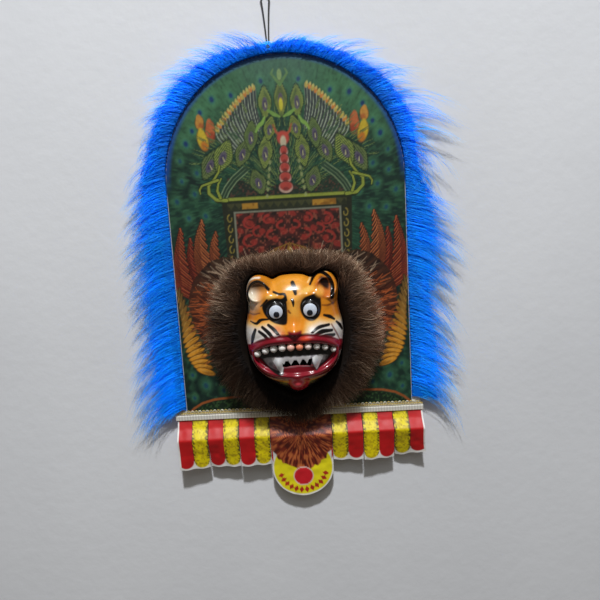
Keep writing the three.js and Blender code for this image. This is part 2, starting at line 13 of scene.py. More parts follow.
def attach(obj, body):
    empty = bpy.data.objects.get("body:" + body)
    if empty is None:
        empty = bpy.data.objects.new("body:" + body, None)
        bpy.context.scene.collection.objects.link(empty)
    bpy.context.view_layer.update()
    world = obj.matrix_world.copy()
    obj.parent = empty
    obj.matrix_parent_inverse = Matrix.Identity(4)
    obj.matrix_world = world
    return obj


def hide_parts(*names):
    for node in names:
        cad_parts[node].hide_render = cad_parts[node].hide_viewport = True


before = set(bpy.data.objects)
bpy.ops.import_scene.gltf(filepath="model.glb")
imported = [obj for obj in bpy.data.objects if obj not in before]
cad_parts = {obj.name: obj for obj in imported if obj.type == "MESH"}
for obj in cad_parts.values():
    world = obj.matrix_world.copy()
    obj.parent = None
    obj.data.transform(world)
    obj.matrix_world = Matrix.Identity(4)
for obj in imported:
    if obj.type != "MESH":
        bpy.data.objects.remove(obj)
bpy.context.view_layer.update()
scene = bpy.context.scene

# Sizes shared with the solid model

NAIL = np.array([-14.0, 0.0, 630.0])
PICTURE_HALF = 182.5
PICTURE_STRAIGHT = 360.0
BOARD_MARGIN = 15.0
FACE = 4.1  # depth at which pieces on the picture begin
MASK_HEIGHT = 125.0
TRIM_FOOT = 6.0
TRIM_SEAM = 306.0
TRIM_WIDTH = 31.0
TRIM_CROWN_WIDTH = 21.0
VALANCE_TOP = -8.0
VALANCE_HALF = 199.0
BADGE_RADIUS = 50.0
BADGE_DROP = 92.5
VALANCE_DROP = 87.0
EYE_ACROSS = 24.8
EYE_UP = 41.5
EYE_SEAT = 66.8
MILLIMETRE = 0.001


def row(points):
    """Points in metres in the row frame."""
    return (np.asarray(points, float) - NAIL) * MILLIMETRE


def linear(colour):
    """An sRGB colour of 0 to 255 as linear light."""
    c = np.asarray(colour, float) / 255
    return np.where(c <= 0.04045, c / 12.92, ((c + 0.055) / 1.055) ** 2.4)


def smooth(low, high, value):
    """0 at low and beyond it, 1 at high and beyond it, a soft step between; low may be over high."""
    t = np.clip((value - low) / (high - low), 0, 1)
    return t * t * (3 - 2 * t)


def ridge(away, width):
    return np.exp(-((away / width) ** 2))


def bump(x, y, cx, cy, rx, ry):
    """A round hill of height 1 at (cx, cy)."""
    return np.exp(-(((x - cx) / rx) ** 2) - ((y - cy) / ry) ** 2)


def unit(vectors):
    length = np.linalg.norm(vectors, axis=-1, keepdims=True)
    return vectors / np.maximum(length, 1e-9)


NOISE_CELLS = 64


def noise(x, y, size, seed):
    """Smooth noise from 0 to 1 whose blobs are about `size` across."""
    table = np.random.default_rng(seed).random((NOISE_CELLS, NOISE_CELLS))
    gx, gy = x / size + 7.3, y / size + 3.1
    ix, iy = np.floor(gx).astype(int), np.floor(gy).astype(int)
    fx, fy = gx - ix, gy - iy
    fx, fy = fx * fx * (3 - 2 * fx), fy * fy * (3 - 2 * fy)

    def corner(dx, dy):
        return table[(ix + dx) % NOISE_CELLS, (iy + dy) % NOISE_CELLS]

    low = corner(0, 0) * (1 - fx) + corner(1, 0) * fx
    high = corner(0, 1) * (1 - fx) + corner(1, 1) * fx
    return low * (1 - fy) + high * fy


# Meshes and materials


def add_mesh(name, points, faces, material, paint=None, smooth_shaded=True):
    """A mesh piece from points in millimetres and one or more arrays of faces."""
    faces = [np.asarray(part) for part in faces if len(part)]
    mesh = bpy.data.meshes.new(name)
    mesh.vertices.add(len(points))
    mesh.vertices.foreach_set("co", row(points).astype(np.float32).ravel())
    corners = np.concatenate([part.ravel() for part in faces]).astype(np.int32)
    sizes = np.concatenate([np.full(len(part), part.shape[1]) for part in faces])
    starts = np.concatenate([[0], np.cumsum(sizes)[:-1]]).astype(np.int32)
    mesh.loops.add(len(corners))
    mesh.loops.foreach_set("vertex_index", corners)
    mesh.polygons.add(len(sizes))
    mesh.polygons.foreach_set("loop_start", starts)
    mesh.update(calc_edges=True)
    mesh.validate()
    if paint is not None:
        layer = mesh.color_attributes.new("paint", "FLOAT_COLOR", "POINT")
        rgba = np.ones((len(points), 4), np.float32)
        rgba[:, :3] = np.clip(paint, 0, 1)
        layer.data.foreach_set("color", rgba.ravel())
    if smooth_shaded:
        mesh.shade_smooth()
    mesh.materials.append(material)
    piece = bpy.data.objects.new(name, mesh)
    scene.collection.objects.link(piece)
    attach(piece, "root")
    return piece


def grid_faces(rows, columns, closed=False):
    """Quads of a grid of points, row by row; closed joins the last column to the first."""
    across = columns if closed else columns - 1
    r, c = np.meshgrid(np.arange(rows - 1), np.arange(across), indexing="ij")
    r, c = r.ravel(), c.ravel()
    n = (c + 1) % columns
    return np.stack([r * columns + c, r * columns + n, (r + 1) * columns + n, (r + 1) * columns + c], 1)


class Meshes:
    """Joins several lots of points, faces and colours into one mesh."""

    def __init__(self):
        self.points, self.faces, self.paint, self.count = [], [], [], 0

    def add(self, points, faces, paint):
        points = np.asarray(points, float).reshape(-1, 3)
        self.points.append(points)
        self.faces.extend(np.asarray(part) + self.count for part in faces if len(part))
        self.paint.append(np.broadcast_to(np.asarray(paint, float).reshape(-1, 3), points.shape))
        self.count += len(points)

    def piece(self, name, material, smooth_shaded=True, slot=None):
        points, paint = np.concatenate(self.points), np.concatenate(self.paint)
        return add_mesh(name, points, self.faces, material, paint, smooth_shaded)


class Surface:
    """A Principled material whose nodes are added one by one."""

    def __init__(self, name, **values):
        self.material = bpy.data.materials.new(name)
        self.material.use_nodes = True
        self.nodes = self.material.node_tree.nodes
        self.links = self.material.node_tree.links
        self.shader = self.nodes["Principled BSDF"]
        for key, value in values.items():
            self.shader.inputs[key.replace("_", " ")].default_value = value

    def node(self, kind, values=None, **settings):
        made = self.nodes.new(kind)
        for key, value in settings.items():
            setattr(made, key, value)
        for key, value in (values or {}).items():
            made.inputs[key].default_value = value
        return made

    def link(self, source, target):
        self.links.new(source, target)

    def painted(self):
        """Takes the base colour from the mesh's own paint."""
        layer = self.node("ShaderNodeVertexColor", layer_name="paint")
        self.link(layer.outputs["Color"], self.shader.inputs["Base Color"])
        return layer.outputs["Color"]

    def noise(self, scale, detail=2.0):
        place = self.node("ShaderNodeTexCoord")
        made = self.node("ShaderNodeTexNoise", {"Scale": scale, "Detail": detail})
        self.link(place.outputs["Object"], made.inputs["Vector"])
        return made.outputs["Fac"]

    def varied(self, factor, low, high):
        """Base colour between two linear colours."""
        made = self.node("ShaderNodeValToRGB")
        for stop, place, colour in zip(made.color_ramp.elements, (0.35, 0.65), (low, high)):
            stop.position = place
            stop.color = (*colour, 1)
        self.link(factor, made.inputs["Fac"])
        self.link(made.outputs["Color"], self.shader.inputs["Base Color"])

    def rough(self, factor, low, high):
        scaled = self.node("ShaderNodeMapRange", {"To Min": low, "To Max": high})
        self.link(factor, scaled.inputs["Value"])
        self.link(scaled.outputs["Result"], self.shader.inputs["Roughness"])

    def bumped(self, factor, strength, distance):
        made = self.node("ShaderNodeBump", {"Strength": strength, "Distance": distance})
        self.link(factor, made.inputs["Height"])
        self.link(made.outputs["Normal"], self.shader.inputs["Normal"])


def dress(node_name, surface):
    """Gives a solid that stays in view its material."""
    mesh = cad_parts[node_name].data
    mesh.materials.clear()
    mesh.materials.append(surface.material)


# Camera


def place_camera():
    """The camera that sees the panel as the photo does, a little from above and rolled."""
    elevation, roll = np.radians((7.88, -3.42))
    ahead = np.array([0, np.cos(elevation), -np.sin(elevation)])
    right = np.array([1.0, 0, 0])
    up = np.cross(right, ahead)
    across = right * np.cos(roll) + up * np.sin(roll)
    upward = up * np.cos(roll) - right * np.sin(roll)
    eye = row([11.07, -814.91, 284.93])
    lens = bpy.data.cameras.new("camera")
    lens.sensor_width = 36
    lens.lens = 31.2
    lens.clip_start = 0.01
    camera = bpy.data.objects.new("camera", lens)
    scene.collection.objects.link(camera)
    axes = Matrix(np.stack([across, upward, -ahead], 1).tolist()).to_4x4()
    camera.matrix_world = Matrix.Translation(Vector(eye)) @ axes
    scene.camera = camera


place_camera()

# Cord

CORD_ACROSS, _, NAIL_HEIGHT = NAIL
CORD_DIAMETER = 2.2
LOOP_RADIUS = 6.6


def cord_route():
    """The loop's centre line from the left foot over the nail to the right foot."""
    side = [(1.5, 2.4, 75.0), (1.7, 2.2, 66), (2.5, 1.6, 50), (3.9, 0.9, 30), (5.4, 0.3, 14)]
    middle = NAIL_HEIGHT + CORD_DIAMETER / 2 - LOOP_RADIUS
    angles = np.linspace(np.pi, 0, 7)
    top = [(LOOP_RADIUS * np.cos(a), 0, middle + LOOP_RADIUS * np.sin(a)) for a in angles]
    left = [(-across, back, NAIL_HEIGHT - below) for across, back, below in side]
    right = [(across, back, NAIL_HEIGHT - below) for across, back, below in reversed(side)]
    return np.array([(x + CORD_ACROSS, y, z) for x, y, z in left + top + right])


def rounded(points, count):
    """Points spread evenly along a Catmull-Rom curve through the given ones."""
    points = np.asarray(points, float)
    padded = np.vstack([2 * points[0] - points[1], points, 2 * points[-1] - points[-2]])
    dense = []
    for p0, p1, p2, p3 in zip(padded, padded[1:], padded[2:], padded[3:]):
        t = np.linspace(0, 1, 24, endpoint=False)[:, None]
        part = 2 * p1 + (p2 - p0) * t + (2 * p0 - 5 * p1 + 4 * p2 - p3) * t**2
        dense.append((part + (3 * p1 - p0 - 3 * p2 + p3) * t**3) / 2)
    dense = np.vstack([*dense, points[-1:]])
    along = np.concatenate([[0], np.cumsum(np.linalg.norm(np.diff(dense, axis=0), axis=1))])
    at = np.linspace(0, along[-1], count)
    return np.stack([np.interp(at, along, column) for column in dense.T], 1)


def tube(path, radii, sides=8, twist=0.0, strands=0, groove=0.0):
    """Points and quads of a round tube; strands cut a twisted groove pattern into its skin."""
    path = np.asarray(path, float)
    ahead = unit(np.gradient(path, axis=0))
    start = np.cross(ahead[0], [0.3, 0.9, 0.2])
    frames = []
    across = start / np.linalg.norm(start)
    for direction in ahead:
        across = across - direction * (across @ direction)
        across = across / np.linalg.norm(across)
        frames.append((across, np.cross(direction, across)))
    frames = np.array(frames)
    run = np.concatenate([[0], np.cumsum(np.linalg.norm(np.diff(path, axis=0), axis=1))])
    angle = np.arange(sides) * 2 * np.pi / sides
    crown = np.abs(np.sin((angle + run[:, None] * twist) * strands / 2)) if strands else 1.0
    radius = np.broadcast_to(radii, len(path))[:, None] * (1 - groove * (1 - crown))
    ring = np.cos(angle)[:, None] * frames[:, None, 0] + np.sin(angle)[:, None] * frames[:, None, 1]
    points = path[:, None] + ring * radius[..., None]
    return points.reshape(-1, 3), grid_faces(len(path), sides, closed=True)


def make_cord():
    surface = Surface("black_cord", Base_Color=(0.012, 0.012, 0.014, 1), Sheen_Weight=0.3)
    surface.rough(surface.noise(900), 0.55, 0.85)
    surface.bumped(surface.noise(2600, 1), 0.5, 0.0003)
    route = rounded(cord_route(), 260)
    points, faces = tube(route, CORD_DIAMETER / 2, 18, twist=1.5, strands=3, groove=0.22)
    path = rounded(cord_route(), 40)
    cord = add_mesh("hanging_cord_twisted", points, [faces], surface.material)
    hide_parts("hanging_cord")
    dress("cord_knot", surface)
    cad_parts["cord_knot"].data.shade_smooth()


make_cord()

# Light and wall


def add_light(name, place, target, size, power, colour):
    light = bpy.data.lights.new(name, "AREA")
    light.shape = "DISK"
    light.size = size
    light.energy = power
    light.color = colour
    lamp = bpy.data.objects.new(name, light)
    scene.collection.objects.link(lamp)
    lamp.location = place
    lamp.rotation_euler = (Vector(target) - Vector(place)).to_track_quat("-Z", "Y").to_euler()


def light_room():
    """A small lamp high in front, the pale ceiling above it and a little light from all round."""
    world = bpy.data.worlds.new("room")
    scene.world = world
    world.use_nodes = True
    sky = world.node_tree.nodes["Background"]
    sky.inputs["Color"].default_value = (1.0, 0.92, 0.78, 1)
    sky.inputs["Strength"].default_value = 0.13
    middle = (0.0, 0.0, -0.35)
    add_light("lamp", (0.1, -2.0, 3.0), middle, 0.26, 176, (0.96, 0.98, 1.0))
    add_light("ceiling", (0.1, -1.7, 1.4), middle, 1.5, 8, (0.93, 0.97, 1.0))
    scene.view_settings.view_transform = "Standard"


def make_wall():
    surface = Surface("painted_wall", Roughness=0.85)
    surface.varied(surface.noise(2.2, 3), (0.68, 0.69, 0.72), (0.73, 0.74, 0.77))
    surface.bumped(surface.noise(60, 4), 0.12, 0.004)
    half, back = 3000, 5.6
    corners = [(-half, back, -half), (half, back, -half), (half, back, half), (-half, back, half)]
    wall = add_mesh("wall", corners, [[[0, 1, 2, 3]]], surface.material, smooth_shaded=False)


light_room()
make_wall()

# Painting on a sheet of points


class Canvas:
    """Colours at points across and up, painted over in order."""

    def __init__(self, x, y, base):
        self.x, self.y = np.asarray(x, float).ravel(), np.asarray(y, float).ravel()
        self.rgb = np.tile(linear(base), (self.x.size, 1))

    def lay(self, mask, colour, strength=1.0, near=slice(None)):
        now = self.rgb[near]
        self.rgb[near] = now + (linear(colour) - now) * (np.clip(mask, 0, 1) * strength)[:, None]

    def near(self, points, margin):
        low, high = np.min(points, axis=0) - margin, np.max(points, axis=0) + margin
        across = (self.x > low[0]) & (self.x < high[0])
        return np.flatnonzero(across & (self.y > low[1]) & (self.y < high[1]))

    def ellipse(self, cx, cy, rx, ry, colour, turn=0.0, soft=0.2, strength=1.0):
        near = self.near([(cx, cy)], max(rx, ry) * (1 + soft))
        dx, dy = self.x[near] - cx, self.y[near] - cy
        c, s = np.cos(turn), np.sin(turn)
        away = np.hypot((dx * c + dy * s) / rx, (dy * c - dx * s) / ry)
        self.lay(smooth(1 + soft, 1 - soft, away), colour, strength, near)

    def distance(self, points, near=slice(None)):
        """Distance to a line through points, and how far along it the nearest place is."""
        x, y = self.x[near], self.y[near]
        points = np.asarray(points, float)
        best, share = np.full(x.size, 1e9), np.zeros(x.size)
        spans = len(points) - 1
        for k in range(spans):
            (ax, ay), (bx, by) = points[k], points[k + 1]
            ex, ey = bx - ax, by - ay
            t = np.clip(((x - ax) * ex + (y - ay) * ey) / (ex * ex + ey * ey + 1e-9), 0, 1)
            away = np.hypot(x - ax - t * ex, y - ay - t * ey)
            nearer = away < best
            best = np.where(nearer, away, best)
            share = np.where(nearer, (k + t) / spans, share)
        return best, share

    def stroke(self, points, start, end, colour, soft=1.0, strength=1.0, middle=None):
        """A brush line whose width runs from start to end, by way of middle."""
        widest = max(start, end, middle or 0)
        near = self.near(points, widest / 2 + soft)
        away, share = self.distance(points, near)
        stops = [start, end] if middle is None else [start, middle, end]
        width = np.interp(share, np.linspace(0, 1, len(stops)), stops)
        self.lay(smooth(width / 2 + soft / 2, width / 2 - soft / 2, away), colour, strength, near)

    def patch(self, outline, colour, soft=1.0, strength=1.0):
        """A closed outline, filled."""
        near = self.near(outline, soft)
        self.lay(self.inside(outline, soft, near), colour, strength, near)

    def inside(self, outline, soft=1.0, near=slice(None)):
        points = np.asarray(outline, float)
        x, y = self.x[near], self.y[near]
        away, _ = self.distance(np.vstack([points, points[:1]]), near)
        within = np.zeros(x.size, bool)
        for (ax, ay), (bx, by) in zip(points, np.roll(points, -1, axis=0)):
            if ay != by:
                crosses = (ay > y) != (by > y)
                within ^= crosses & (x < ax + (y - ay) * (bx - ax) / (by - ay))
        return smooth(soft / 2, -soft / 2, np.where(within, -away, away))


def mirrored(points, side):
    """Points on the right, or with a side of -1 their mirror image on the left."""
    return [(side * x, y) for x, y in points]


def eased(points, rounds=2):
    """A closed outline with its corners cut round."""
    points = np.asarray(points, float)
    for _ in range(rounds):
        ahead = np.roll(points, -1, axis=0)
        points = np.stack([0.75 * points + 0.25 * ahead, 0.25 * points + 0.75 * ahead], 1).reshape(-1, 2)
    return points


# Mask

# The right half of the mask's outline, from the top of the forehead to the chin
MASK_OUTLINE = [
    (0, 91), (17, 89.5), (29, 85), (38, 90), (50, 93), (60, 89), (67, 78), (69, 65), (67.5, 50),
    (69, 34), (73, 16), (74, 2), (72.5, -14), (69, -31), (61, -48), (49, -62), (35, -74), (19, -83),
    (7, -90), (0, -91),
]
RIM_DEPTH = 30.0
DOME_DEPTH = 42.0
MOUTH_HALF = 65.0
MOUTH_TOP = 1.0
MOUTH_CORNER = -16.0
MOUTH_BOTTOM = -57.0
# Moulded forms, on both sides where they stand off the middle line: height, middle across and up,
# radius across and up
FORMS = [
    (9, 0, -24, 54, 30), (4, 27, 64, 18, 7), (-7, 26, 41, 19, 17), (8, 0, 13, 14, 9), (8, 36, 9, 22, 12),
    (6, 0, -49, 34, 8), (7, 26, -36, 6, 12), (-6.5, 50, 73, 10, 11), (-1.5, 7.5, 8, 3.2, 2.6),
]
CHIN = (1, -70, 12, 9)
CHIN_HEIGHT = 12.0
EAR_MIDDLE = (50, 72)
EAR_RADIUS = 15.0
EYE_PLATEAU = 66.5


def outline_radius(angle):
    """Distance from the mask's centre to its outline, the angle clockwise from straight up."""
    corners = np.array(MASK_OUTLINE, float)
    at = np.arctan2(corners[:, 0], corners[:, 1])
    r = np.hypot(corners[:, 0], corners[:, 1])
    at = np.concatenate([[-at[1]], at, [2 * np.pi - at[-2]]])
    r = np.concatenate([[r[1]], r, [r[-2]]])
    slope = np.gradient(r, at)
    slope[1:-1] = (r[2:] - r[:-2]) / (at[2:] - at[:-2])
    a = np.abs((np.asarray(angle) + np.pi) % (2 * np.pi) - np.pi)
    k = np.clip(np.searchsorted(at, a, side="right") - 1, 1, len(at) - 3)
    h = at[k + 1] - at[k]
    t = (a - at[k]) / h
    return (
        (2 * t**3 - 3 * t**2 + 1) * r[k]
        + (t**3 - 2 * t**2 + t) * h * slope[k]
        + (-2 * t**3 + 3 * t**2) * r[k + 1]
        + (t**3 - t**2) * h * slope[k + 1]
    )


def mouth_top(u):
    """Height of the mouth's upper edge."""
    return MOUTH_TOP - (MOUTH_TOP - MOUTH_CORNER) * np.minimum(np.abs(u) / MOUTH_HALF, 1.25) ** 3


def mouth_distance(u, v):
    """Over 0 outside the mouth and under 0 inside it, in millimetres near its outline."""
    across = np.minimum(np.abs(u) / MOUTH_HALF, 1.25)
    bottom = MOUTH_CORNER - (MOUTH_CORNER - MOUTH_BOTTOM) * np.sqrt(np.clip(1 - across**3, 0, 1))
    side = np.abs(u) - MOUTH_HALF
    inner = np.maximum(np.maximum(v - mouth_top(u), bottom - v), side)
    return np.where(across >= 1, np.hypot(side, v - MOUTH_CORNER), inner)


def mask_relief(u, v):
    """Height of the moulded face over the picture."""
    a = np.abs(u)
    share = np.minimum(1, np.hypot(u, v) / outline_radius(np.arctan2(u, v)))
    depth = RIM_DEPTH + DOME_DEPTH * np.sqrt(np.clip(1 - share**2.4, 0, 1))
    for height, *form in FORMS:
        depth = depth + height * bump(a, v, *form)
    depth = depth + CHIN_HEIGHT * bump(u, v, *CHIN)
    # The nose's bridge and the groove under its tip
    depth = depth + 7 * ridge(u, 12) * smooth(72, 55, v) * smooth(2, 14, v)
    depth = depth - 1.2 * ridge(u, 1.6) * smooth(-2, 1, v) * smooth(9, 5, v)
    # The lips, the hollow inside them and a fine fold over the upper one
    lip = mouth_distance(u, v)
    depth = depth + 6 * ridge(lip, 6.5) - 5 * smooth(-3, -9, lip)
    depth = depth + 1.3 * ridge(lip - 9, 2.2) * smooth(-12, -2, v)
    # The ears' rims, open towards the forehead
    ear = np.hypot(a - EAR_MIDDLE[0], v - EAR_MIDDLE[1])
    outward = smooth(-14, 6, a - 46 + (v - 70) * 0.9)
    depth = depth + 8 * ridge(ear - EAR_RADIUS, 3.4) * outward
    # A flat seat for each eye
    seat = smooth(15.6, 10.6, np.hypot(a - EYE_ACROSS, v - EYE_UP))
    return depth * (1 - seat) + EYE_PLATEAU * seat


SLOT_SNAP = 0.45
TEETH_A_SIDE = 5
TOOTH_PITCH = 12.4


def mask_place(u, v, depth):
    """A place on the panel from one on the mask: across, up and out."""
    return np.stack([u, -(FACE + depth), MASK_HEIGHT + v], -1)


# The opening between the fangs, then the black patches round the eyes and the mouth's black inside
SLOT = [
    (-20, -32.5), (-18, -36), (-15.5, -31), (-11.5, -31), (-7.5, -37), (-3, -30), (1, -30), (5, -37),
    (9, -30), (12, -30), (16, -36.5), (19, -29.5), (24, -28.5), (22.5, -35), (21, -40), (12, -39),
    (2, -37.8), (-8, -38.6), (-15, -40.5), (-20, -39.5),
]
LEFT_EYE = [
    (-46, 51), (-41, 53), (-35, 59), (-25, 62), (-16, 59), (-9.5, 65), (-8, 50), (-8.5, 30),
    (-10, 23), (-18, 22.5), (-31, 26), (-42, 36),
]
RIGHT_EYE = [
    (9.5, 47), (14, 58), (25, 63), (37, 66), (45, 70), (41, 58), (42, 46), (39.5, 32), (30, 25),
    (21, 26), (13, 33),
]
MOUTH_INSIDE = [
    (-60, -20), (-54, -13), (-40, -8), (-20, -4.5), (0, -3.5), (20, -4.5), (40, -8), (51, -12),
    (58, -20), (53, -31), (45, -38), (36, -44), (27, -50), (23, -38), (2, -38), (-16, -39),
    (-21, -54), (-36, -48), (-46, -38), (-55, -28),
]
# Black brush lines: width at the start, in the middle and at the end, then the line's points
FACE_LINES = [
    (3.0, 3.6, 4.0, [(-27, 70), (-19, 66.5), (-11, 66), (-9, 58)]),
    (1.6, 3.6, 3.4, [(-47, 50), (-42, 54), (-37, 59)]),
    (1.8, 3.2, 3.4, [(46, 71), (41, 67), (34, 64)]),
    (6.0, 7.4, 4.6, [(1.5, 81), (3.5, 74), (5, 66)]),
    (4.6, 4.0, 1.8, [(0, 58), (1, 54), (1, 49)]),
    (2.0, 5.0, 2.4, [(-64, 27), (-55, 24.5), (-48, 30), (-36, 31)]),
    (4.2, 5.8, 3.6, [(-57, 16), (-61, 6), (-64, -6)]),
    (4.4, 5.6, 3.2, [(-51, 14), (-43, 9), (-34, 1)]),
    (4.4, 5.8, 3.2, [(-46, 20), (-37, 13), (-27, 2)]),
    (4.2, 5.4, 3.2, [(-37, 23), (-29, 17), (-20, 7)]),
    (3.2, 5.0, 4.0, [(25, 10), (36, 16.5), (51, 18)]),
    (3.6, 6.6, 4.4, [(27, 6), (40, 10.5), (55, 9.5)]),
    (3.6, 6.6, 4.6, [(31, 2), (44, 3.5), (58, 2)]),
    (3.6, 5.6, 3.0, [(45, 32), (53, 29), (60, 24)]),
    (3.0, 4.8, 3.0, [(63, 20), (68, 14), (72, 6)]),
    (3.6, 4.4, 3.6, [(-70, 60), (-66, 47), (-68, 38)]),
]
BROWN_LINES = [
    (1.8, 3.1, 1.8, [(-69, 40), (-59, 38), (-49, 40)]),
    (1.8, 3.1, 1.8, [(43, 47), (51, 46), (60, 48)]),
    (2.7, 3.4, 2.6, [(-6.5, 43), (-5.5, 41), (-4, 40)]),
    (1.8, 2.6, 1.8, [(55, 18), (62, 4), (67, -8)]),
]
LEFT_EAR_ARC = [(-64.5, 56), (-65.5, 68), (-62.5, 78), (-57, 84), (-49, 86), (-41, 82), (-34, 74)]
RIGHT_EAR_ARC = [(27, 77), (34, 88), (42, 93), (50, 91), (57, 84), (60, 72), (58, 57)]
BRUSH_BLACK = (16, 13, 12)


def paint_ears(art):
    bowl = [(-66, 52), (-65, 72), (-58, 82), (-47, 83), (-37, 72), (-40, 58), (-52, 50)]
    art.patch(eased(bowl), (228, 146, 54), 5)
    art.ellipse(-61, 63, 11, 17, (226, 214, 190), soft=0.85)
    # Painted shade in the top of the left ear's bowl, under the black arc
    art.ellipse(-52, 80, 14, 8, (52, 30, 18), soft=0.9, strength=0.85)
    rim = rounded([(-70, 56), (-70, 68), (-65, 84), (-56, 90), (-47, 90.5)], 14)
    art.stroke(rim, 2, 2, (250, 236, 214), 1.6)
    art.stroke(rounded(LEFT_EAR_ARC, 18), 2.6, 4.6, BRUSH_BLACK, 1.3, middle=3.8)
    art.patch(eased([(38, 58), (33, 76), (42, 89), (53, 86), (59, 72), (55, 56)]), (206, 112, 40), 5)
    # Painted shade in the upper part of the right ear's bowl, under its rim and black arc
    art.patch(eased([(40, 76), (41, 89), (51, 88), (57, 78), (54, 66)]), (40, 22, 16), 6)
    art.ellipse(40, 67, 6, 7, (240, 168, 70), soft=0.6)
    art.stroke(rounded([(24, 80), (33, 91), (44, 96), (54, 93)], 14), 2, 2, (250, 214, 150), 1.6, 0.8)
    art.stroke(rounded(RIGHT_EAR_ARC, 18), 3.0, 6.5, BRUSH_BLACK, 1.3, middle=5.0)
    art.stroke(rounded([(61, 86), (66, 76), (64.5, 62)], 10), 1.5, 1.5, (240, 150, 60), 1.4, 0.9)


def paint_mouth(art, lip, v):
    red, dark_red = (136, 22, 38), (84, 8, 20)
    side = smooth(30, 60, np.abs(art.x))
    art.lay(smooth(9.0 + 1.5 * side, 6.8 + 1.5 * side, lip) * smooth(-62, -56, v), red)
    art.lay(smooth(3.0, 1.2, np.abs(lip - 8)) * smooth(-6, 2, v), dark_red, 0.7)
    art.lay(bump(art.x, v, -6, -1.5, 30, 2.4), (190, 50, 60), 0.5)
    art.lay(smooth(2.0, 0.6, np.abs(lip + 0.4)) * smooth(-8, -2, v), (70, 6, 16), 0.6)
    art.ellipse(15, 3, 7, 3.6, (224, 74, 40), soft=0.7, strength=0.8)
    # Black gum all round a grey and white palate
    art.patch(eased(MOUTH_INSIDE, 1), (16, 13, 14), 1.6)
    gum = mouth_top(art.x) - v
    palate = [(-50, -24), (50, -24), (44, -36), (28, -42), (-22, -46), (-36, -43), (-45, -36)]
    roof = art.inside(eased(palate), 3) * smooth(19, 24, gum)
    art.lay(roof, (150, 145, 150))
    art.lay(roof * smooth(0.45, 0.7, noise(art.x, v, 6, 5)), (62, 56, 60), 0.75)
    ridges = bump(art.x, v, 0, -26, 34, 3.2) * smooth(0.7, 0.4, noise(art.x, v, 5, 8))
    art.lay(roof * ridges, (226, 224, 228), 0.9)
    # Fangs and the row of small lower teeth round the slot
    for fang in (
        [(-36, -25), (-16, -25), (-17, -38), (-21, -51.5), (-27, -44), (-34, -33)],
        [(24, -25), (41, -25), (38, -34), (30, -48.5), (26, -42), (24, -34)],
    ):
        art.patch(eased(fang, 1), (232, 230, 232), 1.6)
        art.stroke(fang[2:], 1.0, 1.0, (52, 44, 48), 1.3, 0.8)
    teeth = [
        (-20, -28), (-15, -38.5), (-11.5, -29), (-7.5, -39), (-3, -29), (1, -29), (5, -39), (9, -28),
        (12, -29), (16, -38.5), (21, -28),
    ]
    art.lay(art.inside([*teeth, (21, -25), (-20, -25)], 1.4), (226, 222, 224), 0.9)
    art.stroke([(-18, -40), (2, -39), (24, -39)], 2.4, 2.4, (196, 96, 104), 1.6, 0.9)
    art.stroke([(-16, -45), (2, -44), (24, -45)], 7, 7, (120, 16, 30), 2.5, middle=8)
    # Chin
    below_lip = smooth(9.5, 11, lip) * smooth(-50, -54, v)
    art.lay(below_lip, (20, 12, 12))
    rim = smooth(10.9, 10.2, lip) * smooth(9.0, 9.5, lip) * smooth(-24, -40, v)
    art.lay(rim * smooth(20, 34, np.abs(art.x)), (156, 68, 36), 0.8)
    knob = [(-13, -55), (17, -55), (20, -67), (12, -82), (-6, -82), (-13, -68)]
    art.patch(eased(knob), (196, 30, 50), 2.4)
    # Painted highlight: a pink glint in the middle of the chin knob
    art.ellipse(1, -68, 7, 6, (232, 90, 100), soft=0.7, strength=0.6)


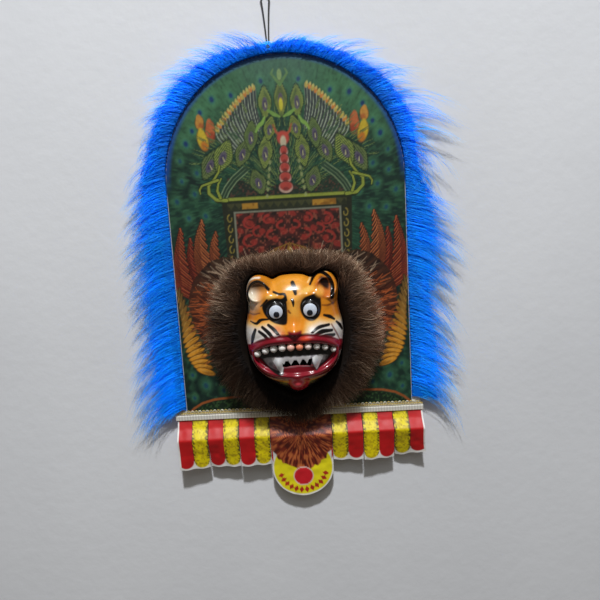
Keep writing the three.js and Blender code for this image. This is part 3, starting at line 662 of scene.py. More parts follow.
def paint_mask(u, v):
    """The airbrushed tiger face."""
    art = Canvas(u, v, (230, 142, 34))
    mirror = Canvas(np.abs(u), v, (0, 0, 0))
    share = np.hypot(u, v) / outline_radius(np.arctan2(u, v))
    art.ellipse(0, 74, 34, 16, (226, 152, 48), soft=0.6)
    # Painted highlight: a soft light patch on the forehead between its two black marks
    art.ellipse(4, 62, 12, 16, (236, 176, 90), soft=0.9, strength=0.5)
    # Painted highlight: a light stripe down the nose's bridge
    art.ellipse(0, 36, 8, 26, (240, 170, 66), soft=0.6)
    art.lay(smooth(50, 70, np.abs(u)) * smooth(66, 44, v), (206, 108, 40), 0.5)
    # Cheeks: yellow above, cream below, with the orange nose between them
    cheek = [(12, 8), (18, 25), (34, 30), (50, 25), (64, 28), (84, 22), (84, -60), (8, -60)]
    art.lay(mirror.inside(cheek, 9), (236, 184, 104))
    low_cheek = [(14, 4), (22, 17), (38, 22), (54, 18), (70, 20), (84, 14), (84, -60), (8, -60)]
    art.lay(mirror.inside(low_cheek, 12), (226, 218, 210))
    art.lay(smooth(6, -14, v) * smooth(50, 70, np.abs(u)), (176, 128, 140), 0.6)
    art.ellipse(-24, 17, 7, 5, (226, 120, 40), soft=0.8, strength=0.8)
    art.ellipse(0, 22, 11, 14, (232, 140, 40), soft=0.5)
    art.ellipse(13, 4, 5, 4, (226, 112, 40), soft=0.6, strength=0.8)
    art.ellipse(-16, 10, 4, 5, (226, 112, 40), soft=0.6, strength=0.8)
    for outline in (LEFT_EYE, RIGHT_EYE):
        art.patch(eased(outline), BRUSH_BLACK, 2.2)
    # Painted highlights on the tops of the brow ridges, over the black eye patches
    art.ellipse(-30, 64, 9, 3, (246, 200, 104), turn=0.2, soft=0.6, strength=0.7)
    art.ellipse(22, 70, 9, 3.4, (246, 200, 104), turn=0.3, soft=0.6, strength=0.7)
    for start, middle, end, points in BROWN_LINES:
        art.stroke(rounded(points, 10), start, end, (112, 52, 24), 1.8, 0.85, middle)
    for start, middle, end, points in FACE_LINES:
        art.stroke(rounded(points, 10), start, end, BRUSH_BLACK, 1.2, 1.0, middle)
    paint_ears(art)
    nose = [(-10, 16), (1, 14), (12, 16), (9, 7), (5, -5), (-3, -5), (-7, 7)]
    art.patch(eased(nose), (128, 26, 36), 4)
    for nostril in (-5, 7.5):
        art.ellipse(nostril, 10, 2.4, 1.6, (70, 14, 20), soft=0.6, strength=0.7)
    paint_mouth(art, mouth_distance(u, v), v)
    art.lay(smooth(0.955, 1.0, share) * smooth(-34, -28, v) * smooth(60, 50, v), (120, 96, 90), 0.5)
    speckle = noise(u, v, 2.2, 11) * 0.06 + noise(u, v, 14, 12) * 0.1 - 0.08
    return art.rgb * (0.87 + speckle[:, None])


def ellipsoid(centre, radii, steps=16, sides=24):
    """Points and quads of an ellipsoid."""
    up = np.linspace(0.02, np.pi - 0.02, steps)
    turn = np.arange(sides) * 2 * np.pi / sides
    x = np.sin(up)[:, None] * np.cos(turn)[None]
    y = np.sin(up)[:, None] * np.sin(turn)[None]
    z = np.broadcast_to(np.cos(up)[:, None], x.shape)
    return np.stack([x, y, z], -1).reshape(-1, 3) * radii + centre, grid_faces(steps, sides, closed=True)


def snapped_to_slot(u, v):
    """Moves points close to the slot's edge onto it and marks those inside, for a clean cut."""
    ring = np.array([*SLOT, SLOT[0]], float)
    flat = Canvas(u, v, (0, 0, 0))
    away, _ = flat.distance(ring)
    inside = flat.inside(SLOT, 0.01) > 0.5
    spans = ring[1:] - ring[:-1]
    for i in np.flatnonzero(away < SLOT_SNAP):
        p = np.array([flat.x[i], flat.y[i]])
        t = np.clip(((p - ring[:-1]) * spans).sum(1) / (spans**2).sum(1), 0, 1)
        spots = ring[:-1] + spans * t[:, None]
        flat.x[i], flat.y[i] = spots[np.argmin(((spots - p) ** 2).sum(1))]
    return flat.x, flat.y, inside & (away > SLOT_SNAP)


def add_teeth(made):
    """The two rows of bead teeth under the upper lip, warm in the middle and smaller outwards."""
    for sign in (-1, 1):
        for i in range(TEETH_A_SIDE):
            across = TOOTH_PITCH * (i + 0.5) + 0.2
            low = mouth_top(np.array([across]))[0] - 10.5
            size = 6.0 * (1 - (0.1 if sign < 0 else 0.3) * across / MOUTH_HALF)
            depth = mask_relief(np.array([sign * across]), np.array([low]))[0] + 0.35 * size
            spot = mask_place(sign * across, low, depth)
            bead, quads = ellipsoid(spot, np.array([size * 0.98, size, size]))
            warm = ridge(sign * across - 3, 13)
            tone = linear((250, 246, 242)) * (1 - warm) + linear((250, 140, 96)) * warm
            shade = smooth(-1.0, 0.1, (bead[:, 2] - spot[2]) / size)[:, None]
            made.add(bead, [quads], tone * (0.75 + 0.25 * shade))


def make_mask():
    around, rings = 480, 150
    angle = np.arange(around) * 2 * np.pi / around
    edge = outline_radius(angle)
    share = np.sin(np.pi / 2 * np.arange(1, rings + 1) / rings)[:, None]
    u, v, inside = snapped_to_slot(share * edge * np.sin(angle), share * edge * np.cos(angle))
    skin = mask_place(u, v, mask_relief(u, v))
    middle = mask_place(0, 0, mask_relief(np.zeros(1), np.zeros(1))[0])
    # The rim turns back towards the board
    skirt = []
    for down, wider in ((0.6, 0.5), (3.5, 0.8), (15, 1.4), (30, 2.0)):
        r = edge + wider
        skirt.append(mask_place(r * np.sin(angle), r * np.cos(angle), np.full(around, RIM_DEPTH - down)))
    points = np.concatenate([skin, *skirt, middle[None]])
    faces = grid_faces(rings + len(skirt), around, closed=True)
    cut = np.zeros(len(points), bool)
    cut[: len(inside)] = inside
    faces = faces[~cut[faces].any(1)]
    hub = np.full(around, len(points) - 1)
    fan = np.stack([hub, (np.arange(around) + 1) % around, np.arange(around)], 1)
    made = Meshes()
    paint = paint_mask(points[:, 0], points[:, 2] - MASK_HEIGHT)
    made.add(points, [faces[:, ::-1], fan[:, ::-1]], paint)
    add_teeth(made)
    surface = Surface(
        "moulded_mask",
        Coat_Weight=0.25,
        Coat_Roughness=0.06,
        Specular_IOR_Level=0.28,
        Subsurface_Weight=0.02,
    )
    surface.painted()
    surface.rough(surface.noise(70, 3), 0.2, 0.32)
    surface.bumped(surface.noise(160, 2), 0.08, 0.001)
    mask = made.piece("tiger_mask_painted", surface.material, slot="mask_plastic")
    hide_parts("tiger_mask")


make_mask()

# Eyes


def lathe(profile, centre, sides=48):
    """Turned points and quads: profile is (radius, height towards the front)."""
    profile = np.asarray(profile, float)
    turn = np.arange(sides) * 2 * np.pi / sides
    x = profile[:, :1] * np.cos(turn)
    z = profile[:, :1] * np.sin(turn)
    y = -np.broadcast_to(profile[:, 1:], x.shape)
    points = np.stack([x, y, z], -1).reshape(-1, 3) + centre
    return points, grid_faces(len(profile), sides, closed=True)


def make_eyes():
    white = Surface("eye_white", Roughness=0.45)
    white.varied(white.noise(300), (0.66, 0.73, 0.85), (0.74, 0.8, 0.9))
    black = Surface("pupil_black", Base_Color=(0.006, 0.008, 0.014, 1))
    black.rough(black.noise(800), 0.22, 0.4)
    clear = Surface("eye_clear", Base_Color=(0.05, 0.06, 0.07, 1), Alpha=0.07)
    clear.rough(clear.noise(200), 0.03, 0.08)
    disc = [(0.01, 0), (9.5, 0), (9.8, 0.3), (9.8, 0.9), (9.5, 1.2), (0.01, 1.2)]
    pupil = [(0.01, 0), (4.1, 0), (4.3, 0.2), (4.25, 0.6), (3.6, 0.92), (0.01, 1.0)]
    dome = [(max(9.8 * np.cos(t), 0.01), 5.2 * np.sin(t)) for t in np.linspace(0, np.pi / 2, 16)]
    for side, sign in (("left", -1), ("right", 1)):
        centre = np.array([sign * EYE_ACROSS, -(FACE + EYE_SEAT), MASK_HEIGHT + EYE_UP])
        for node, form, profile, shift, surface, slot in (
            ("eye_disc", "card", disc, (0, 0, 0), white, "eye_white"),
            ("pupil", "loose", pupil, (-0.6 * sign, -1.5, -3.6), black, "pupil"),
            ("eye_dome", "clear", dome, (0, -1.5, 0), clear, "eye_clear"),
        ):
            points, faces = lathe(profile, centre + np.array(shift))
            piece = add_mesh(f"{node}_{side}_{form}", points, [faces], surface.material)
            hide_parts(f"{node}_{side}")


make_eyes()

# Fur: flat tapering ribbons, each gathered towards the middle line of its lock

TRIM_HAIR_POINTS = 5
MANE_HAIR_POINTS = 6


def ribbons(paths, widths, colours, facing):
    """Points, faces and colours of one strip per path; its last point is the tip."""
    count, steps, _ = paths.shape
    along = np.gradient(paths, axis=1)
    across = unit(np.cross(along, facing[:, None]))
    half = across * (widths / 2)[..., None]
    left, right = (paths - half)[:, :-1], (paths + half)[:, :-1]
    points = np.concatenate([left, right, paths[:, -1:]], axis=1)
    colour = np.concatenate([colours[:, :-1], colours[:, :-1], colours[:, -1:]], axis=1)
    per = 2 * (steps - 1) + 1
    base = (np.arange(count) * per)[:, None]
    k = np.arange(steps - 2)
    quads = np.stack([k, k + 1, k + steps, k + steps - 1], 1)
    quads = (base[:, :, None] + quads[None]).reshape(-1, 4)
    tips = base + np.array([[steps - 2, per - 1, 2 * steps - 3]])
    return points.reshape(-1, 3), [quads, tips], colour.reshape(-1, 3)


def bezier(start, bend, end, steps):
    """Paths of so many points, one for each start, bend and end."""
    t = np.linspace(0, 1, steps)[None, :, None]
    return (1 - t) ** 2 * start[:, None] + 2 * t * (1 - t) * bend[:, None] + t**2 * end[:, None]


def wave(paths, rng, size, turns):
    """Adds a slow bend across each path that grows towards its tip."""
    count, steps, _ = paths.shape
    t = np.linspace(0, 1, steps)[None]
    phase = rng.uniform(0, 2 * np.pi, (count, 1))
    shift = np.sin(2 * np.pi * turns[:, None] * t + phase) - np.sin(phase)
    across = unit(np.cross(np.gradient(paths, axis=1), np.array([0, -1.0, 0])))
    return paths + across * (shift * t * size[:, None])[..., None]


# DEEP_BLUE is the fur's blue in painted shade; it is also the backing's colour
DEEP_BLUE = np.array([0.0, 0.13, 0.62])
BLUE = np.array([0.001, 0.33, 0.95])
PALE_BLUE = np.array([0.15, 0.55, 1.0])
TOWARDS_LAMP = np.array([-0.1, -0.8, 0.6])
RUN_STRAIGHT = PICTURE_STRAIGHT - TRIM_FOOT
RUN_LENGTH = 2 * RUN_STRAIGHT + np.pi * PICTURE_HALF
SEAM_AT = RUN_STRAIGHT + np.pi * PICTURE_HALF + PICTURE_STRAIGHT - TRIM_SEAM


def along_trim(length, out):
    """Place across and up, and the outward direction, at a length along the trim's run."""
    arc = np.clip((length - RUN_STRAIGHT) / PICTURE_HALF, 0, np.pi)
    nx, nz = -np.cos(arc), np.sin(arc)
    x = nx * (PICTURE_HALF + out)
    low = TRIM_FOOT + length
    high = PICTURE_STRAIGHT - (length - RUN_STRAIGHT - np.pi * PICTURE_HALF)
    on_arc = PICTURE_STRAIGHT + nz * (PICTURE_HALF + out)
    z = np.where(length < RUN_STRAIGHT, low, np.where(arc >= np.pi, high, on_arc))
    return x, z, nx, nz


def crown_share(length):
    """1 at the top of the arch, falling to 0 on both sides of it."""
    return ridge(length / RUN_LENGTH - 0.5, 0.17)


def band_width(length):
    return TRIM_WIDTH - (TRIM_WIDTH - TRIM_CROWN_WIDTH) * crown_share(length)


# At shares of the trim's run: how far the dense pile and its wisps reach from the picture, in
# millimetres, and how many degrees below level the tips point
PILE = np.array([
    (0.00, 46, 82, 68), (0.12, 50, 74, 60), (0.26, 52, 71, 52), (0.285, 50, 72, 48), (0.305, 37, 44, 76),
    (0.335, 32, 42, 80), (0.36, 34, 50, 38), (0.41, 33, 52, 20), (0.44, 24, 48, 8), (0.475, 10, 40, -8),
    (0.50, 14, 27, -4), (0.525, 20, 26, 0), (0.55, 17, 42, 4), (0.60, 22, 64, 18), (0.625, 30, 68, 24),
    (0.65, 28, 82, 34), (0.68, 22, 80, 46), (0.70, 15, 46, 76), (0.735, 18, 40, 74), (0.75, 48, 76, 44),
    (0.775, 54, 88, 44), (0.80, 54, 82, 52), (0.83, 44, 72, 56), (0.85, 25, 60, 60), (0.88, 36, 76, 58),
    (0.95, 48, 80, 58), (1.00, 40, 80, 68),
])


def pile_at(length, column):
    return np.interp(length / RUN_LENGTH, PILE[:, 0], PILE[:, column])


def strip_width(length):
    """Width of the strip's pile, which thins over the crown until the sheet shows."""
    return band_width(length) * np.minimum(1, pile_at(length, 1) / 26)


def trim_hair(rng, length, out, reach):
    """Root, bend and tip of hairs that leave the strip square to it and then fall to one side."""
    x, z, nx, nz = along_trim(length, out)
    side = np.where(np.abs(nx) < 0.05, np.where(x < CORD_ACROSS, -1.0, 1.0), np.sign(nx))
    fall = np.radians(pile_at(length, 3)) + rng.normal(0, 0.14, len(length))
    tip = np.stack([side * np.cos(fall), 0 * x, -np.sin(fall)], -1)
    square = np.stack([nx, 0 * x, nz], -1)
    gain = np.maximum((tip * square).sum(-1), 0.3)
    size = (np.maximum(reach - out, 8) / (0.42 + 0.58 * gain))[:, None]
    leave = unit(square + 0.3 * tip)
    root = np.stack([x, 0 * x, z], -1)
    bend = root + leave * 0.44 * size
    return root, bend, bend + tip * 0.58 * size


def trim_paint(rng, locks, owner, at, out, t):
    """Blue hairs, darkened along the strip's inner edge as painted shade, and pale at the tips of some
    locks as painted highlight, more on the right.
    """
    x, _, nx, _ = along_trim(at, out)
    tone = rng.uniform(0.8, 1.08, len(owner)) * rng.uniform(0.82, 1.08, locks)[owner]
    tone = tone * (0.84 + 0.3 * noise(at, out, 38, 81)) * (1 + 0.3 * crown_share(at))
    on_arch = np.abs(nx) < 0.999
    # Painted shade: hairs darkened towards deep blue along the strip's inner edge, more on the arch
    roll = smooth(9, 2, out) * (0.35 + 0.5 * on_arch)
    # Painted highlight: pale tips on some locks, more of them on the right side
    light = rng.uniform(0.15, 1.0, locks)[owner] ** 1.5 * (1 + 0.3 * (x > 0))
    colour = BLUE + (PALE_BLUE - BLUE) * (light[:, None] * smooth(0.3, 1.0, t))[..., None]
    colour = colour + (DEEP_BLUE - colour) * (roll[:, None] * (1 - 0.5 * t))[..., None]
    return colour * tone[:, None, None]


def trim_layer(rng, start_at, end_at, spacing, per_lock, reach, gather, width, depths):
    """One layer of the blue pile: hairs in locks `spacing` apart along the strip."""
    locks = int((end_at - start_at) / spacing)
    at = start_at + (np.arange(locks) + rng.uniform(0.1, 0.9, locks)) * spacing
    out = strip_width(at) * rng.uniform(0.12, 0.8, locks)
    lock_reach = reach(rng, at)
    root, bend, end = trim_hair(rng, at, out, lock_reach)
    owner = np.repeat(np.arange(locks), per_lock)
    count = len(owner)
    hair_at = np.clip(at[owner] + rng.normal(0, spacing, count), start_at, end_at)
    hair_out = np.clip(out[owner] + rng.normal(0, 6.0, count), 0.3, strip_width(hair_at) - 1)
    x, z, _, _ = along_trim(hair_at, hair_out)
    hair_root = np.stack([x, np.zeros(count), z], -1)
    shift = hair_root - root[owner]
    stretch = rng.uniform(0.72, 1.06, count)[:, None]
    hair_bend = hair_root + (bend[owner] + shift * (0.9 - 0.3 * gather) - hair_root) * stretch
    hair_end = hair_root + (end[owner] + shift * (0.8 - 0.65 * gather) - hair_root) * stretch
    hair_end[:, [0, 2]] += rng.normal(0, 1, (count, 2)) * lock_reach[owner, None] * 0.03
    lift = rng.uniform(*depths, locks)[owner] + rng.normal(0, 0.3, count)
    hair_root[:, 1] = -(FACE + 3.0 + 0.35 * lift)
    hair_bend[:, 1] = -(FACE + 5.0 + lift)
    hair_end[:, 1] = -(4.0 + np.clip(lift, 0, 10))
    paths = bezier(hair_root, hair_bend, hair_end, TRIM_HAIR_POINTS)
    sway = rng.uniform(0.3, 3.0, locks)[owner] + rng.normal(0, 0.3, count)
    paths = wave(paths, np.random.default_rng(5), sway, rng.uniform(0.4, 0.9, locks)[owner])
    t = np.linspace(0, 1, TRIM_HAIR_POINTS)[None]
    widths = width * rng.uniform(0.75, 1.25, (count, 1)) * (1 - 0.72 * t**1.4)
    colour = trim_paint(rng, locks, owner, hair_at, hair_out, t)
    facing = unit(TOWARDS_LAMP + rng.normal(0, 0.22, (count, 3)))
    return ribbons(paths, widths, colour, facing)


def coat(low, high):
    """Reach of hairs that stay within shares of the dense pile."""
    return lambda rng, at: pile_at(at, 1) * rng.uniform(low, high, len(at))


def wisps(rng, at):
    """Reach of single hairs, from the dense pile's edge to the farthest tips."""
    dense, far = pile_at(at, 1), pile_at(at, 2)
    return dense + (far * 1.15 - dense) * rng.uniform(0.2, 1.1, len(at))


def edge_fuzz(rng, start_at, end_at, count):
    """Short dark blue hairs along the strip's inner edge that cross onto the picture; their dark colour
    is painted shade.
    """
    at = rng.uniform(start_at, end_at, count)
    x, z, nx, nz = along_trim(at, rng.uniform(0.2, 3.0, count))
    inward = rng.uniform(-0.3, 1.0, count) * 3.2
    slide = rng.normal(0, 2.2, count)
    root = np.stack([x, np.full(count, -(FACE + 1.0)), z], -1)
    square, along = np.stack([nx, 0 * nx, nz], -1), np.stack([-nz, 0 * nz, nx], -1)
    end = root - square * inward[:, None] + along * slide[:, None] + (0, -1.5, 0)
    bend = (root + end) / 2 + square + (0, -2.5, 0)
    points = 4
    paths = bezier(root, bend, end, points)
    widths = 0.7 * (1 - 0.6 * np.linspace(0, 1, points)[None]) * np.ones((count, 1))
    # Deep blue as painted shade along the inner edge
    colour = DEEP_BLUE * rng.uniform(0.6, 1.4, (count, 1, 1)) * np.ones((1, points, 1))
    return ribbons(paths, widths, colour, np.tile([0.0, -1.0, 0.0], (count, 1)))


def trim_backing(start_at, end_at):
    """The woven strip under the pile."""
    at = np.linspace(start_at, end_at, int((end_at - start_at) / 5))
    section = [(0, 0.1), (0.6, 2.6), (5, 4.6), (12, 5.0), (22, 3.8), (29, 1.0), (31, 0.2)]
    rows = []
    for out, up in section:
        x, z, _, _ = along_trim(at, out * strip_width(at) / TRIM_WIDTH)
        rows.append(np.stack([x, np.full_like(x, -(FACE + up)), z], -1))
    points = np.concatenate(rows)
    return points, [grid_faces(len(section), len(at))], DEEP_BLUE


def fur_surface(name):
    """Hair that takes its colour from the paint and lets some light through."""
    surface = Surface(name, Roughness=0.6, Specular_IOR_Level=0.12)
    colour = surface.painted()
    glow = surface.node("ShaderNodeBsdfTranslucent")
    dimmed = surface.node("ShaderNodeMixShader", {"Fac": 0.38})
    both = surface.node("ShaderNodeAddShader")
    surface.link(colour, glow.inputs["Color"])
    surface.link(glow.outputs["BSDF"], dimmed.inputs[2])
    surface.link(surface.shader.outputs["BSDF"], both.inputs[0])
    surface.link(dimmed.outputs["Shader"], both.inputs[1])
    surface.link(both.outputs["Shader"], surface.nodes["Material Output"].inputs["Surface"])
    return surface.material


BLUE_FUR = fur_surface("blue_fur")


def make_trim(name, start_at, end_at, seed, replaced):
    made = Meshes()
    made.add(*trim_backing(start_at, end_at))
    rng = np.random.default_rng(seed)
    # An even undercoat that hides the backing, the pile over it and thin wisps that reach past it
    for spacing, per_lock, reach, gather, width, depths in (
        (3.0, 27, coat(0.45, 0.85), 0.2, 0.85, (0.5, 1.5)),
        (5.5, 34, coat(0.7, 1.1), 0.7, 0.7, (2.0, 3.2)),
        (4.2, 13, wisps, 0.92, 0.42, (3.0, 7.0)),
    ):
        made.add(*trim_layer(rng, start_at, end_at, spacing, per_lock, reach, gather, width, depths))
    made.add(*edge_fuzz(rng, start_at, end_at, int((end_at - start_at) * 2.2)))
    piece = made.piece(name, BLUE_FUR, smooth_shaded=False, slot="blue_fur")
    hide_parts(replaced)


make_trim("fur_trim_long_pile", 0.0, SEAM_AT, 21, "fur_trim_long")
make_trim("fur_trim_short_pile", SEAM_AT + 0.6, RUN_LENGTH, 33, "fur_trim_short")

# Mane

MANE_DARK, MANE_BROWN, MANE_PALE = linear([(24, 17, 14), (90, 62, 44), (196, 172, 146)])
MANE_RUST = linear((132, 70, 42))
MANE_SKIN_GAP = 7  # how far the mane's skin lies under its hair


def from_top(angle):
    """An angle round the mask as 0 at its top to pi at its chin, on either side."""
    return np.abs((angle + np.pi) % (2 * np.pi) - np.pi)


def mane_reach(angle):
    """How far the mane's rim is from the mask's middle."""
    a = from_top(angle)
    return 121 + 8 * ridge(a - 0.95, 0.4) - 12 * ridge(a, 0.5) + 10 * ridge(a - np.pi, 0.4)


def mane_height(share):
    """How far the mane stands out, from the mask's edge at 0 to the mane's rim at 1."""
    return 31 + 8 * smooth(0, 0.22, share) - 30 * smooth(0.22, 1.05, share)


def mane_place(angle, share, height):
    inner = outline_radius(angle) + 3.4
    r = inner + (mane_reach(angle) - inner) * share
    z = MASK_HEIGHT + r * np.cos(angle)
    lift = 12 * smooth(16, 6, z)
    return np.stack([r * np.sin(angle), -(FACE + lift + height), z], -1)


def mane_skin():
    angle = np.linspace(0, 2 * np.pi, 241)[:-1]
    rows = [mane_place(angle, 0 * angle, 0 * angle)]
    for share in np.linspace(0, 0.97, 12):
        rows.append(mane_place(angle, share + 0 * angle, mane_height(share) - MANE_SKIN_GAP + 0 * angle))
    rows.append(mane_place(angle, 0.97 + 0 * angle, 0 * angle))
    return np.concatenate(rows), [grid_faces(len(rows), len(angle), closed=True)], linear((22, 16, 12))


def mane_layer(rng, locks, per_lock, length, gather):
    """Hairs in locks that leave the skin outwards and then sink onto the picture."""
    lock_angle = rng.uniform(0, 2 * np.pi, locks)
    lock_share = rng.uniform(0, 0.8, locks) ** 1.15
    owner = np.repeat(np.arange(locks), per_lock)
    count = len(owner)
    none = np.zeros(count)
    a = lock_angle[owner] + rng.normal(0, 0.055, count)
    share = np.clip(lock_share[owner] + rng.normal(0, 0.06, count), 0, 0.86)
    root = mane_place(a, share, mane_height(share) - MANE_SKIN_GAP)
    guide = lock_angle[owner] + (a - lock_angle[owner]) * (1 - 0.7 * gather)
    guide = guide + rng.normal(0, 0.3, locks)[owner] + rng.normal(0, 0.12, count)
    outward = np.stack([np.sin(guide), none, np.cos(guide)], -1)
    # Hairs end soon after the mane's rim, and the lowest keep clear of the braid
    size = (26 + 32 * rng.random(locks)[owner] + 8 * rng.random(count)) * length
    room = (mane_reach(a) + 9 - outline_radius(a)) * (1 - share)
    room = room + 10 + 10 * rng.random(locks)[owner] * smooth(-0.9, -0.6, np.cos(a))
    size = np.minimum(size, room + 8) * (0.85 - 0.15 * smooth(-0.8, -0.95, np.cos(a)))
    bend = root + outward * (size * 0.42)[:, None] + np.stack([none, 2.5 * share - 5.5, none], -1)
    fall = np.stack([none, 4 + 10 * share, -0.14 * size], -1)
    end = bend + outward * (size * 0.58)[:, None] + fall + rng.normal(0, 1.6, (count, 3))
    floor = FACE + 1.5 + 12 * smooth(16, 6, end[:, 2])
    end[:, 1] = np.minimum(end[:, 1], -(floor + 4))
    bends = rng.uniform(1.2, 5.0, locks)[owner] + rng.uniform(0, 1.5, count)
    turns = rng.uniform(0.6, 1.6, locks)[owner]
    paths = wave(bezier(root, bend, end, MANE_HAIR_POINTS), np.random.default_rng(9), bends, turns)
    t = np.linspace(0, 1, MANE_HAIR_POINTS)[None]
    widths = rng.uniform(0.5, 0.85, (count, 1)) * (1 - 0.7 * t)
    # Dark roots, brown and rust lengths and pale tips
    pale = rng.random(count) ** 1.7 * smooth(0.05, 0.5, share)
    pale = pale * rng.uniform(0.2, 1.5, locks)[owner] ** 1.6
    reddish = rng.random(locks)[owner] < 0.12 + 0.5 * ridge(from_top(a) - 1.5, 0.45)
    rust = (reddish * smooth(0.2, 0.55, share))[:, None, None]
    brown = MANE_BROWN + (MANE_RUST - MANE_BROWN) * rust
    far = smooth(0, 0.8, t)[..., None] * (0.35 + 0.65 * share)[:, None, None]
    colour = MANE_DARK + (brown - MANE_DARK) * far
    colour = colour + (MANE_PALE - colour) * (pale[:, None] * smooth(0.3, 1, t))[..., None]
    lit = np.clip(0.85 + 0.55 * np.cos(a) + 0.35 * np.sin(a), 0.3, 2)
    tone = lit * rng.uniform(0.7, 1.3, count) * rng.uniform(0.45, 1.6, locks)[owner]
    facing = unit(np.stack([rng.normal(0, 0.5, count), none - 1, rng.normal(0, 0.5, count)], -1))
    return ribbons(paths, widths, colour * tone[:, None, None], facing)


def make_mane():
    rng = np.random.default_rng(44)
    made = Meshes()
    made.add(*mane_skin())
    for locks, per_lock, length, gather in ((400, 22, 0.8, 0.3), (340, 29, 1.0, 0.7)):
        made.add(*mane_layer(rng, locks, per_lock, length, gather))
    piece = made.piece("mane_hair", fur_surface("brown_fur"), smooth_shaded=False, slot="brown_fur")
    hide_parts("mane")


make_mane()

# The printed picture

PRINT_TONE = 0.75
PRINT_STEP = 1.25  # between the points that carry the print
PRINT_REACH = 185.5  # how far the printed sheet runs under the trim
# Heights on the centre line that the field, the plumes and the printed mane spread from
FIELD_ROOT = 330.0
PLUME_ROOT = 334.0
PRINTED_MANE = 140.0


def feather_eye(art, x, z, size, turn, strength):
    """A peacock feather's eye: pale green halo, teal ring and blue heart."""
    art.ellipse(x, z, size * 1.1, size * 1.4, (84, 142, 100), turn, 0.6, 0.6 * strength)
    art.ellipse(x, z - size * 0.1, size * 0.62, size * 0.8, (44, 104, 100), turn, 0.4, 0.75 * strength)
    art.ellipse(x, z - size * 0.1, size * 0.36, size * 0.48, (22, 48, 104), turn, 0.35, 0.9 * strength)


def leaf_feather(art, x, z, rx, rz, turn, rim):
    """A leaf-shaped feather: barbed yellow-green vane, mauve heart and pale quill."""
    near = art.near([(x, z)], max(rx, rz) * 1.3)
    c, s = np.cos(turn), np.sin(turn)
    dx, dz = art.x[near] - x, art.y[near] - z
    across, up = (dx * c + dz * s) / rx, (dz * c - dx * s) / rz
    point = np.abs(across) * (1 + 0.55 * smooth(0.1, 1, np.abs(up)))
    barbs = np.sin((up * rz - np.abs(across) * rx * 0.9) * 2.6)
    away = np.hypot(point, up) + 0.06 * barbs
    art.lay(smooth(1.16, 1.06, away), (28, 42, 30), 0.85, near)
    art.lay(smooth(1.04, 0.94, away), (92, 112, 60), 0.9, near)
    art.lay(smooth(1.04, 0.94, away) * smooth(-0.1, 0.7, barbs), rim, 0.95, near)
    art.lay(smooth(0.82, 0.6, away) * smooth(0.3, -0.5, barbs), (44, 66, 44), 0.85, near)
    heart = np.hypot(across * 2.3, (up + 0.12) * 2.1)
    art.lay(smooth(1.05, 0.8, heart), (92, 82, 104), 0.85, near)
    art.lay(smooth(0.6, 0.4, heart), (54, 48, 80), 0.7, near)
    quill = [(x + 0.1 * rx, z - 0.3 * rz), (x + s * 0.12 * rz, z - 0.04 * rz)]
    art.stroke(quill, 1.8, 1.0, (200, 196, 140), 1.0, 0.9)


def wing(art, side, lead, lengths, tone, light):
    """Narrow feathers laid from the wing's leading edge, foot to tip, inwards and down."""
    rng = np.random.default_rng(61)
    edge = rounded(lead, int(np.hypot(*np.diff(lead, axis=0).T).sum() / 3.9))
    for share, start in zip(np.linspace(0, 1, len(edge)), edge):
        long = np.interp(share, np.linspace(0, 1, len(lengths)), lengths) * rng.uniform(0.88, 1.1)
        slant = 0.72 + 0.5 * share
        ahead = np.array([-np.cos(slant), -np.sin(slant)])
        sag = np.array([-ahead[1], ahead[0]]) * 0.09 * long
        feather = [start, start + ahead * 0.5 * long + sag, start + ahead * long]
        art.stroke(mirrored(feather, side), 5.0, 4.2, (40, 22, 18), 1.2, 0.95)
        shade = np.array(tone) * rng.uniform(0.75, 1.05)
        art.stroke(mirrored(feather, side), 3.4, 2.2, shade, 1.0, 0.95)
        art.stroke(mirrored([p + np.array([0, 0.7]) for p in feather], side), 1.5, 0.8, light, 0.9, 0.8)


def paint_field(art):
    """The dark green ground: brushed barbs, cloudy greens and a scatter of feather eyes."""
    x, z = art.x, art.y
    away, turn = np.hypot(x, z - FIELD_ROOT), np.arctan2(x, z - FIELD_ROOT)
    cloud = noise(x, z, 42, 1) * 0.6 + noise(x, z, 15, 2) * 0.4
    art.lay(smooth(0.38, 0.75, cloud), (40, 78, 58), 0.75)
    art.lay(smooth(0.5, 0.85, noise(x, z, 60, 3)), (20, 38, 36), 0.8)
    art.lay(smooth(95, 190, away) * smooth(380, 470, z), (84, 142, 96), 0.5)
    barbs = noise(turn * 150 + 0.06 * away, away * 0.3, 2.2, 4)
    art.lay(smooth(0.5, 0.9, barbs), (78, 132, 92), 0.26)
    art.lay(smooth(0.45, 0.1, barbs), (14, 28, 26), 0.32)
    for side in (-1, 1):
        for px, pz, size in (
            (28, 505, 7), (74, 487, 7.5), (103, 483, 8.5), (122, 465, 7.5), (136, 439, 7),
            (147, 421, 8.5), (158, 396, 6), (134, 377, 7), (158, 366, 6.5), (140, 346, 7),
            (168, 336, 7.5), (126, 312, 7), (152, 310, 7), (112, 336, 5), (148, 44, 9), (120, 34, 7),
            (168, 62, 6), (168, 24, 6),
        ):
            feather_eye(art, side * px, pz, size, -side * 0.3, 0.95 - 0.35 * (pz < 400))


